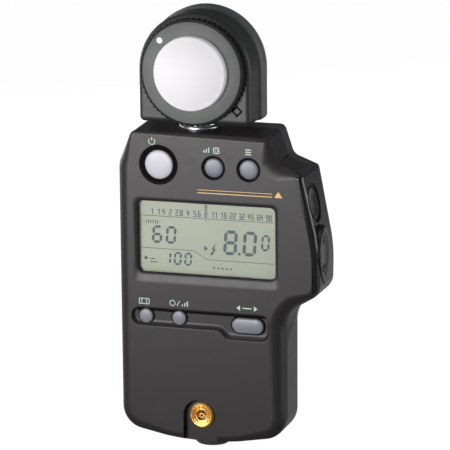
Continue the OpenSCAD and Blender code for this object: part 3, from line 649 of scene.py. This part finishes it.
# Ring: a coined edge, a face with a fine turned lip, and the sleeve inside the head
bm = bmesh.new()
teeth, per = 60, 8
knurl_rows = []
for y, scale in ((-10.35, 0.15), (-10.1, 1.0), (-8.7, 1.0), (-8.45, 0.3)):
    row = []
    for k in range(teeth * per):
        t = 2 * math.pi * k / (teeth * per)
        wave = 0.5 + 0.5 * math.cos(teeth * t)
        r = 19.22 + 0.43 * scale * wave ** 0.7
        row.append(Vector((HEAD_X + r * math.cos(t), y, HEAD_Z + r * math.sin(t))))
    knurl_rows.append(row)
n_ring = teeth * per


def round_row(r, y):
    turns = [2 * math.pi * k / n_ring for k in range(n_ring)]
    return [Vector((HEAD_X + r * math.cos(t), y, HEAD_Z + r * math.sin(t))) for t in turns]


profile_front = [(13.6, -9.9), (13.6, -10.85), (13.75, -11.0), (18.1, -11.0), (18.4, -10.85), (18.5, -10.55),
                 (18.9, -10.42)]
profile_back = [(19.0, -8.3), (15.51, -8.3), (15.51, -4.1), (14.2, -4.1), (14.2, -9.9)]
add_loft(bm, [round_row(r, y) for r, y in profile_front] + knurl_rows + [round_row(r, y) for r, y in profile_back],
         closed=None)
ring_piece = new_object("coined_ring", bm)
finish_piece(ring_piece, "dome_ring", "ring_plastic", "diffuser_ring", smooth=40, weighted=False)
# The coined edge and the ring's faces behind its front get a near-black copy of the ring's finish: partly the knurl's
# own dark tone, partly painted shade for the shadow on the ring's side.
ring_piece.data.materials.append(MAT["knurl_dark_and_shade"])
for p in ring_piece.data.polygons:
    away = math.hypot(p.center.x / MM - HEAD_X, p.center.z / MM - HEAD_Z)
    p.material_index = 1 if away > 18.45 or p.center.y / MM > -10.3 else 0

# Dome: a short steep wall and a shallow cap, with a soft edge between them
wall_y, tip_y = RING_FACE - 2.4, RING_FACE - 6.5
cap_rise = wall_y - tip_y
cap_r = ((13.5 - 0.4) ** 2 + cap_rise ** 2) / (2 * cap_rise)
prof = [(0.0, tip_y)]
for k in range(1, 25):
    r = 12.6 * k / 24
    prof.append((r, tip_y + cap_r - math.sqrt(cap_r * cap_r - r * r)))
prof += [(12.98, wall_y - 0.28), (13.28, wall_y + 0.02), (13.42, wall_y + 0.35), (13.46, wall_y + 0.8), (13.48, -10.2),
         (13.48, -9.8), (14.1, -9.8), (14.1, -8.6), (13.5, -8.6), (13.5, -8.3), (12.2, -8.3), (12.2, wall_y + 0.6)]
for k in range(16, -1, -1):
    r = 12.0 * k / 16
    prof.append((r, tip_y + cap_r - math.sqrt((cap_r - 1.3) ** 2 - r * r)))
dome = turned("opal_dome", prof, axis="Y", centre=(HEAD_X, 0, HEAD_Z), n=128)
finish_piece(dome, "dome_ring", "dome_opal", "diffuser_dome", smooth=50, weighted=False)

dot = pillow("white_dot", circle(HEAD_X - 11.7, HEAD_Z + 11.4, 1.1, 40), RING_FACE - 0.06, RING_FACE + 0.02, 0.05)
finish_piece(dot, "dome_ring", "dot_paint", "ring_dot")

mark = []
cx, cz = HEAD_X + 16.2, HEAD_Z - 13.7
for k in range(4):
    a, b = math.radians(90 * k), math.radians(90 * (k + 1))
    pts = [(cx + r * math.cos(t), cz + r * math.sin(t)) for r, t in ((2.1, a), (2.1, b), (1.25, b), (1.25, a))]
    mark.append(slab("edge", pts, -8.1, -7.95))
mark = join_bm("index_square", mark)
finish_piece(mark, "head", "mark_paint", "index_mark", weighted=False)

# ---------------------------------------------------------------- neck

collar = turned("collar", [(5, 120.6), (6.6, 120.6), (6.9, 120.75), (6.9, 121.25), (6.75, 121.4), (5, 121.4)],
                centre=(HEAD_X, HEAD_Y, 0), n=96)
finish_piece(collar, "head", "neck_chrome", "neck_collar", smooth=50, weighted=False)
flange = turned("flange", [(5.05, 113.5), (6.5, 113.5), (6.5, 119.1), (7.35, 119.1), (7.5, 119.25), (7.5, 120.1),
                           (7.3, 120.3), (5.05, 120.3)], centre=(HEAD_X, HEAD_Y, 0), n=96)
finish_piece(flange, "body", "neck_chrome", "neck_bush", smooth=50, weighted=False)

# Sync socket: a flange with turned rings stepping down to the bore
y0 = FRONT + 1.4
prof = [(4.1, y0), (4.75, y0 + 0.45), (4.75, y0 + 1.2), (3.9, y0 + 1.2), (3.9, y0 + 7.4), (1.9, y0 + 7.4),
        (1.9, y0 + 0.75)]
for r, tall, deep in ((1.95, 0.5, 1.05), (2.75, 0.3, 0.8), (3.45, 0.08, 0.5)):
    prof += [(r, y0 + tall + 0.12), (r + 0.1, y0 + tall), (r + 0.35, y0 + tall - 0.05), (r + 0.45, y0 + tall + 0.07)]
    prof += [(r + 0.48, y0 + deep), (r + 0.7, y0 + deep)] if r < 3 else []
sync = turned("sync_flange", prof, axis="Y", centre=(SYNC[0], 0, SYNC[1]), n=96)
finish_piece(sync, "body", "gold_plate", "sync_shell", smooth=20, weighted=False)

# ---------------------------------------------------------------- keys


def key_cap(name, points_of, y, flange_y, body, slot, node_name):
    """A cap with a soft rim and a flange under it; y is its face, flange_y the top of the flange."""
    rings = []
    for shrink, dy in ((2.4, 0.0), (1.6, 0.04), (1.0, 0.1), (0.6, 0.16), (0.3, 0.24), (0.12, 0.36), (0.0, 0.6)):
        rings.append([face_on(p, y + dy) for p in points_of(-shrink)])
    rings.append([face_on(p, flange_y) for p in points_of(0)])
    rings.append([face_on(p, flange_y) for p in points_of(1.0)])
    rings.append([face_on(p, flange_y + 0.7) for p in points_of(1.0)])
    o = loft(name, rings)
    return finish_piece(o, body, slot, node_name, smooth=50, weighted=False)


for key, y, flange, slot in (("power", FRONT + 0.1, -11.9, "power_cap"), ("average", FRONT + 0.2, -11.9, "upper_caps"),
                             ("memory", FRONT + 0.2, -11.9, "upper_caps"), ("iso", FRONT + 0.3, -10.9, "lower_caps"),
                             ("aperture", FRONT + 0.3, -10.9, "lower_caps")):
    x, z, r = KEYS[key]
    key_cap(key + "_cap", lambda g, x=x, z=z, r=r: circle(x, z, r + g, 64), y, flange, key + "_key", slot,
            key + "_button")
x, z, r = KEYS["mode"]
key_cap("mode_cap", lambda g: stadium(x, z, MODE_SPAN, r + g), FRONT + 0.3, -10.8, "mode_key", "lower_caps",
        "mode_button")

# Measuring key: an oval cap with a dished face
cup = [(1.5, 5.1, -3.1), (1.5, 5.1, -2.45), (1.5, 4.3, -2.45), (1.5, 4.3, -0.62), (1.5, 4.18, -0.42)]
cup += [(1.5, 3.95, -0.36), (1.5, 3.2, -0.52), (1.4, 2.4, -0.62), (1.2, 1.5, -0.68), (1.0, 0.6, -0.7)]
measure = side_loft("measure_cap", cup)
finish_piece(measure, "measure_key", "grip_plastic", "measure_button", smooth=50, weighted=False)

# Rocker: a lens shape with a soft rim, sunk to a shallow saddle in the middle
levels = [(REACH - 2.2, 0.0), (REACH - 0.25, 0.0), (REACH + 0.12, -0.12), (REACH + 0.32, -0.4), (REACH + 0.4, -0.8)]
rings = rocker_rings(levels)
rings.append([Vector((REACH + 0.34, p.y, p.z)) for p in rocker_rings([(0, -1.6)])[0]])
rings.append([Vector((REACH + 0.05, p.y, p.z)) for p in rocker_rings([(0, -2.6)])[0]])
rings.append([Vector((REACH - 0.15, p.y, p.z)) for p in rocker_rings([(0, -4.0)])[0]])
rocker = loft("rocker_cap", rings)
feet = [box_at("foot", (REACH - 6.5, SIDE_Y - 1.2, z - 1.2), (REACH - 2.1, SIDE_Y + 1.2, z + 1.2))
        for z in (ROCKER_Z - 6.4, ROCKER_Z + 6.4)]
boolean(rocker, feet, "UNION")
finish_piece(rocker, "rocker", "grip_plastic", "rocker_key", smooth=40, weighted=False)

# Arrowheads that stand up from the rocker's two ends
glyph = []
for side in (1, -1):
    for d in (1, -1):
        a = (SIDE_Y + d * 1.7, ROCKER_Z + side * 4.3)
        b = (SIDE_Y, ROCKER_Z + side * 6.4)
        l = math.hypot(b[0] - a[0], b[1] - a[1])
        n = (-(b[1] - a[1]) / l * 0.28, (b[0] - a[0]) / l * 0.28)
        quad = [(a[0] + n[0], a[1] + n[1]), (a[0] - n[0], a[1] - n[1]),
                (b[0] - n[0], b[1] - n[1]), (b[0] + n[0], b[1] + n[1])]
        glyph.append(loft("arrow", [[Vector((x, q[0], q[1])) for q in quad] for x in (REACH - 0.4, REACH + 0.22)]))
arrows = join_bm("rocker_arrows", glyph)
finish_piece(arrows, "rocker", "legend_grey", weighted=False)

# ---------------------------------------------------------------- display

SEGMENTS = {"0": "abcdef", "1": "bc", "2": "abged", "3": "abgcd", "4": "fgbc", "5": "afgcd", "6": "afgedc",
            "7": "abc", "8": "abcdefg", "9": "abcdfg"}


def stroke(points, w, y0, y1, list_to):
    """A straight bar of width w between two flat points."""
    (x0, z0), (x1, z1) = points
    l = math.hypot(x1 - x0, z1 - z0)
    nx, nz = -(z1 - z0) / l * w / 2, (x1 - x0) / l * w / 2
    bar = [(x0 + nx, z0 + nz), (x0 - nx, z0 - nz), (x1 - nx, z1 - nz), (x1 + nx, z1 + nz)]
    list_to.append(slab("bar", bar, y0, y1))


def segment_digit(ch, x, z, w, h, t, y0, y1, list_to, slant=0.08):
    """A seven-segment figure whose lower left corner is (x, z)."""
    g = t * 0.18

    def put(pts):
        pts = [(x + px + slant * pz, z + pz) for px, pz in pts]
        list_to.append(slab("segment", pts, y0, y1))

    half = h / 2
    for name in SEGMENTS[ch]:
        if name in "agd":
            zc = {"a": h - t / 2, "g": half, "d": t / 2}[name]
            a, b = t / 2 + g, w - t / 2 - g
            put([(a, zc), (a + t / 2, zc - t / 2), (b - t / 2, zc - t / 2),
                 (b, zc), (b - t / 2, zc + t / 2), (a + t / 2, zc + t / 2)])
        else:
            xc = w - t / 2 if name in "bc" else t / 2
            lo, hi = (half, h - t / 2) if name in "bf" else (t / 2, half)
            a, b = lo + g, hi - g
            put([(xc, a), (xc + t / 2, a + t / 2), (xc + t / 2, b - t / 2),
                 (xc, b), (xc - t / 2, b - t / 2), (xc - t / 2, a + t / 2)])


# Strokes of the small figures, in a cell 1 wide and 2 high
GLYPH = {
    "0": [[(0, 0), (1, 0), (1, 2), (0, 2), (0, 0)]],
    "1": [[(0.15, 1.6), (0.55, 2), (0.55, 0)]],
    "2": [[(0, 2), (1, 2), (1, 1.1), (0, 0.9), (0, 0), (1, 0)]],
    "3": [[(0, 2), (1, 2), (1, 0), (0, 0)], [(0.2, 1), (1, 1)]],
    "4": [[(0, 2), (0, 0.9), (1, 0.9)], [(0.8, 2), (0.8, 0)]],
    "5": [[(1, 2), (0, 2), (0, 1.1), (1, 1.0), (1, 0), (0, 0)]],
    "6": [[(1, 2), (0, 2), (0, 0), (1, 0), (1, 1), (0, 1)]],
    "8": [[(0, 0), (1, 0), (1, 2), (0, 2), (0, 0)], [(0, 1), (1, 1)]],
    "9": [[(1, 1), (0, 1), (0, 2), (1, 2), (1, 0), (0, 0)]],
}


def small_number(textual, x, z, h, w, thick, y0, y1, list_to):
    """A small printed number centred on x, standing on z."""
    pitch = w + thick * 1.7
    dots = textual.count(".")
    total = pitch * (len(textual) - dots) - thick * 1.7 + dots * thick * 1.6
    at = x - total / 2
    for ch in textual:
        if ch == ".":
            list_to.append(slab("point", circle(at + thick * 0.1, z + thick * 0.3, thick * 0.6, 10), y0, y1))
            at += thick * 1.6
            continue
        for line in GLYPH[ch]:
            for a, b in zip(line, line[1:]):
                ax, az, bx, bz = at + a[0] * w, z + a[1] * h / 2, at + b[0] * w, z + b[1] * h / 2
                l = math.hypot(bx - ax, bz - az)
                ex, ez = (bx - ax) / l * thick / 2, (bz - az) / l * thick / 2
                stroke([(ax - ex, az - ez), (bx + ex, bz + ez)], thick, y0, y1, list_to)
        at += pitch


GLASS = -11.22
INK0, INK1 = GLASS - 0.03, GLASS + 0.05
ink = []
scale_numbers = ["1", "1.4", "2", "2.8", "4", "5.6", "8", "11", "16", "22", "32", "45", "64", "90"]
for k, number in enumerate(scale_numbers):
    small_number(number, -18.4 + k * 3.4, 88.15, 1.95, 0.72, 0.3, INK0, INK1, ink)
stroke([(-22.6, 87.5), (27.4, 87.5)], 0.22, INK0, INK1, ink)
for k in range(3):
    stroke([(1.6, 90.9 + k * 0.75), (2.5, 90.9 + k * 0.75)], 0.5, INK0, INK1, ink)
for k in range(6):
    stroke([(-20.9 + 0.9 * k, 84.6), (-20.9 + 0.9 * k, 85.9)], 0.35, INK0, INK1, ink)
segment_digit("6", -18.9, 77.4, 3.9, 6.6, 0.95, INK0, INK1, ink)
segment_digit("0", -13.6, 77.4, 3.9, 6.6, 0.95, INK0, INK1, ink)
segment_digit("1", -14.6, 69.6, 2.9, 4.9, 0.75, INK0, INK1, ink)
segment_digit("0", -10.6, 69.6, 2.9, 4.9, 0.75, INK0, INK1, ink)
segment_digit("0", -6.6, 69.6, 2.9, 4.9, 0.75, INK0, INK1, ink)
segment_digit("8", 8.3, 74.6, 5.1, 9.2, 1.2, INK0, INK1, ink)
segment_digit("0", 15.6, 74.6, 5.1, 9.2, 1.2, INK0, INK1, ink)
segment_digit("0", 22.6, 76.9, 3.2, 6.0, 0.85, INK0, INK1, ink)
ink.append(slab("point", round_rect(14.5, 75.2, 1.0, 1.0, 0.2, 3), INK0, INK1))
for pts in ([(-22.6, 75.4), (-3.0, 75.4)], [(-3.0, 75.4), (2.3, 72.3)], [(2.3, 72.3), (27.6, 72.3)],
            [(2.0, 87.5), (2.0, 86.2)]):
    stroke(pts, 0.22, INK0, INK1, ink)
bolt = [(4.2, 74.0), (5.7, 76.6), (4.9, 76.6), (5.9, 79.0), (3.9, 76.2), (4.7, 76.2), (3.4, 74.4)]
ink.append(slab("bolt", bolt, INK0, INK1))
ink.append(slab("arrow", [(1.2, 75.4), (2.7, 76.5), (1.2, 77.6)], INK0, INK1))
ink.append(slab("dot", circle(-21.2, 71.6, 0.6, 20), INK0, INK1))
stroke([(-19.6, 70.2), (-16.6, 70.2)], 0.35, INK0, INK1, ink)
stroke([(-19.6, 71.4), (-17.6, 71.4)], 0.35, INK0, INK1, ink)
for k in range(5):
    stroke([(4.5 + 1.6 * k, 69.4), (5.3 + 1.6 * k, 69.4)], 0.6, INK0, INK1, ink)
digits = join_bm("display_ink", ink)
finish_piece(digits, "body", "digits", weighted=False)

# The glass: a shallow cushion-edged plate with the cell's seal showing as a thin rim
glass = pillow("display_plate", round_rect(LCD[0], LCD[1], LCD[2] + 2, LCD[3] + 2.8, 0.6, 4), GLASS + 0.02, -9.6, 0.12)
finish_piece(glass, "body", "display_glass", "lcd_glass")
window = pillow("window_pane", round_rect(LCD[0], LCD[1], LCD[2] + 2.4, LCD[3] + 2.4, 1.5, 6), FRONT + 1.8,
                FRONT + 2.6, 0.1)
finish_piece(window, "body", "display_window", "lcd_window")
# Slanted rim of the display's recess
bm = bmesh.new()
outer = round_rect(LCD[0], LCD[1] - 1, LCD[2] + 3.8, LCD[3] + 5.2, 2.9, 10)
inner = round_rect(LCD[0], LCD[1], LCD[2], LCD[3], 2, 10)
add_loft(bm, [[face_on(p, y) for p in pts] for pts, y in (
    (outer, FRONT + 1.0), (outer, FRONT + 0.03), (inset(outer, 0.35), FRONT + 0.04), (inset(outer, 0.7), FRONT + 0.1),
    (inset(inner, -0.8), FRONT + 0.3), (inset(inner, -0.3), FRONT + 0.5), (inset(inner, -0.05), FRONT + 0.72),
    (inner, FRONT + 1.0), (inner, FRONT + 1.72), (inset(inner, -0.5), FRONT + 1.78))], closed=None)
rim = new_object("display_rim", bm)
finish_piece(rim, "body", "body_plastic", smooth=60, weighted=False)

# ---------------------------------------------------------------- marks

marks = []
M0, M1 = FRONT - 0.04, FRONT + 0.02
# Power: a broken ring with a bar
for k in range(3, 22):
    a, b = math.radians(90 + 15 * k), math.radians(90 + 15 * (k + 1))
    if 15 * k < 40 or 15 * (k + 1) > 325:
        continue
    ends = [(-17.4 + 1.2 * math.cos(t), 115.6 + 1.2 * math.sin(t)) for t in (a, b)]
    stroke(ends, 0.32, M0, M1, marks)
stroke([(-17.4, 115.9), (-17.4, 117.1)], 0.32, M0, M1, marks)
# Averaging: a square inside a square; memory: a bar over a square
for half, w in ((1.0, 0.3), (0.3, 0.6)):
    cx, cz = 7.0, 113.4
    for a, b in (((-1, -1), (1, -1)), ((1, -1), (1, 1)), ((1, 1), (-1, 1)), ((-1, 1), (-1, -1))):
        stroke([(cx + a[0] * half, cz + a[1] * half), (cx + b[0] * half, cz + b[1] * half)], w, M0, M1, marks)
for k in range(3):
    stroke([(2.4 + 0.9 * k, 112.5), (2.4 + 0.9 * k, 113.3 + 0.55 * k)], 0.42, M0, M1, marks)
for k in range(3):
    stroke([(17.9, 112.6 + 0.85 * k), (20.1, 112.6 + 0.85 * k)], 0.4, M0, M1, marks)
# Film speed: a small frame; aperture: a ring with a bar; mode: two arrowheads and a bar
for a, b in (((-23.2, 54.9), (-19.4, 54.9)), ((-19.4, 54.9), (-19.4, 56.9)), ((-19.4, 56.9), (-23.2, 56.9)),
             ((-23.2, 56.9), (-23.2, 54.9)), ((-22.2, 54.9), (-22.2, 56.9)), ((-20.4, 54.9), (-20.4, 56.9))):
    stroke([a, b], 0.3, M0, M1, marks)
for k in range(16):
    a, b = math.radians(22.5 * k), math.radians(22.5 * (k + 1))
    stroke([(-10.4 + math.cos(t), 55.9 + math.sin(t)) for t in (a, b)], 0.3, M0, M1, marks)
stroke([(-8.7, 54.9), (-7.6, 56.9)], 0.32, M0, M1, marks)
for k in range(3):
    stroke([(-6.6 + 0.95 * k, 54.9), (-6.6 + 0.95 * k, 55.6 + 0.6 * k)], 0.42, M0, M1, marks)
marks.append(slab("arrow", [(14.0, 55.8), (15.4, 54.8), (15.4, 56.8)], M0, M1))
marks.append(slab("arrow", [(22.0, 55.8), (20.6, 56.8), (20.6, 54.8)], M0, M1))
stroke([(16.3, 55.8), (19.7, 55.8)], 0.4, M0, M1, marks)
icons = join_bm("key_marks", marks)
finish_piece(icons, "body", "legend_green", weighted=False)
rule = []
for z, w in ((97.6, 0.32), (98.7, 0.2)):
    stroke([(-0.4, z), (27.8, z)], w, M0, M1, rule)
rule.append(slab("wedge", [(28.6, 97.4), (31.6, 97.4), (30.1, 99.6)], M0, M1))
rule = join_bm("gold_rule", rule)
finish_piece(rule, "body", "legend_gold", weighted=False)



def painted_well_shade(key, r0, r1, d0, d1):
    """A black ring of painted shade from depth d0 to d1 below the face, on the floor of a key's well."""
    x, z = KEYS[key][:2]
    liner = turned(key + "_well", [(r0, FRONT + d0), (r1, FRONT + d0), (r1, FRONT + d1), (r0, FRONT + d1)],
                   axis="Y", centre=(x, 0, z))
    finish_piece(liner, "body", "shadow_black", weighted=False)


# Painted shade: black rings on the keys' well floors and a black strip along the top of the trough stand for the shadow
# that falls in these recesses.
for key, r0, r1 in (("power", 5.42, 6.75), ("average", 3.66, 3.98), ("memory", 3.66, 3.98)):
    painted_well_shade(key, r0, r1, 0.8, 0.95)
strip = slab("trough_shade", [(-24.6, 52.0), (24.9, 52.0), (24.9, 52.8), (-24.6, 52.8)], FRONT + 1.45, FRONT + 1.7)
finish_piece(strip, "body", "shadow_black", weighted=False)
for key in ("iso", "aperture"):
    painted_well_shade(key, KEYS[key][2] + 0.08, KEYS[key][2] + 0.5, 1.35, 1.7)
bm = bmesh.new()
x, z, r = KEYS["mode"]
mode_shade_ring = ((r + 0.1, FRONT + 1.35), (r + 0.6, FRONT + 1.35), (r + 0.6, FRONT + 1.7), (r + 0.1, FRONT + 1.7))
add_loft(bm, [[face_on(p, y) for p in stadium(x, z, MODE_SPAN, rr)] for rr, y in mode_shade_ring], closed=None)
finish_piece(new_object("mode_well", bm), "body", "shadow_black", weighted=False)

# ---------------------------------------------------------------- remaining CAD nodes

SLOT_OF = {
    "lcd_frame": "frame_plastic", "lcd_connector": "connector_rubber", "main_board": "circuit_board",
    "board_chips": "chip_resin", "key_switches": "switch_metal", "rocker_pin": "plated_steel",
    "side_switch_board": "circuit_board", "side_switches": "switch_metal", "battery_cell": "cell_sleeve",
    "battery_spring": "plated_steel", "battery_contact": "contact_metal", "sync_shell": "gold_plate",
    "sync_insulator": "insulator", "sync_contact": "gold_plate", "sync_nut": "plated_steel",
    "tripod_insert": "tripod_brass", "cover_screws": "black_screws", "label_plate": "label_foil",
    "neck_spindle": "plated_steel", "spindle_nut": "plated_steel", "wave_washer": "plated_steel",
    "sensor_leads": "lead_sleeve", "head_screws": "black_screws",
    "sensor_board": "circuit_board", "photocell": "silicon", "filter_glass": "filter_glass",
    "light_baffle": "baffle_white",
}
for name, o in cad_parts.items():
    if name in SLOT_OF:
        o.data.materials.clear()
        o.data.materials.append(MAT[SLOT_OF[name]])
        for p in o.data.polygons:
            p.material_index = 0

# ---------------------------------------------------------------- stage and light


def lit_paper(name, strength):
    m = material(name, (0.2, 0.2, 0.2), 0.8, vary=0.01, spec=0.1)
    shader = m.node_tree.nodes["Principled BSDF"]
    shader.inputs["Emission Color"].default_value = (1, 1, 1, 1)
    shader.inputs["Emission Strength"].default_value = strength
    return m


def sweep(name, profile, glow):
    """A wide strip of backdrop paper through (y, z) points, in metres."""
    bm = bmesh.new()
    rows = [[bm.verts.new((x, y, z)) for x in (-3.5, 3.5)] for y, z in profile]
    for a, b in zip(rows, rows[1:]):
        bm.faces.new((a[0], a[1], b[1], b[0]))
    o = new_object(name, bm)
    for p in o.data.polygons:
        p.use_smooth = True
    o.data.materials.append(lit_paper(name + "_paper", glow))
    o.visible_diffuse = False
    return o


bend = [(1.0 + 0.9 * math.sin(a), 0.8995 - 0.9 * math.cos(a)) for a in (math.pi / 2 * k / 16 for k in range(17))]
sweep("backdrop", [(-3.0, -0.0005)] + bend + [(1.9, 3.0)], 0.95).visible_glossy = False
sweep("sheen", [(0.0, -0.001), (0.85, -0.001)], 0.4).visible_camera = False

# Studio: dark surroundings for the reflections, a white backdrop
world = bpy.data.worlds.new("studio")
bpy.context.scene.world = world
world.use_nodes = True
wt = world.node_tree
dim = wt.nodes["Background"]
dim.inputs[0].default_value = (0.95, 0.97, 1.0, 1)
dim.inputs[1].default_value = 0.13
bright = node(wt, "ShaderNodeBackground")
bright.inputs[0].default_value = (1, 1, 1, 1)
bright.inputs[1].default_value = 1.05
path = node(wt, "ShaderNodeLightPath")
blend = node(wt, "ShaderNodeMixShader")
wt.links.new(path.outputs["Is Camera Ray"], blend.inputs[0])
wt.links.new(dim.outputs[0], blend.inputs[1])
wt.links.new(bright.outputs[0], blend.inputs[2])
wt.links.new(blend.outputs[0], wt.nodes["World Output"].inputs["Surface"])


def panel(name, azimuth, elevation, distance, size, power, colour=(1, 1, 1), aim=(0, 0, 0.085)):
    """A soft rectangular light; azimuth 0 is in front of the display, positive to the right."""
    a, e = math.radians(azimuth), math.radians(elevation)
    at = Vector(aim) + distance * Vector((math.sin(a) * math.cos(e), -math.cos(a) * math.cos(e), math.sin(e)))
    data = bpy.data.lights.new(name, "AREA")
    data.shape = "RECTANGLE"
    data.size, data.size_y = size
    data.energy = power
    data.color = colour
    o = bpy.data.objects.new(name, data)
    bpy.context.scene.collection.objects.link(o)
    o.location = at
    o.rotation_mode = "QUATERNION"
    o.rotation_quaternion = (Vector(aim) - at).to_track_quat("-Z", "Y")
    return o


panel("key", -20, 3, 0.5, (0.26, 0.16), 2.6)
panel("left_strip", -100, 5, 0.6, (0.12, 0.6), 1.1, (0.97, 0.96, 1.0))
panel("right_fill", 98, 4, 0.8, (0.4, 0.6), 3.4)
panel("top_soft", -20, 62, 0.8, (0.5, 0.4), 0.5)
panel("back_soft", -140, -3, 0.7, (0.6, 0.26), 2.4)

bpy.context.scene.view_settings.view_transform = "Standard"
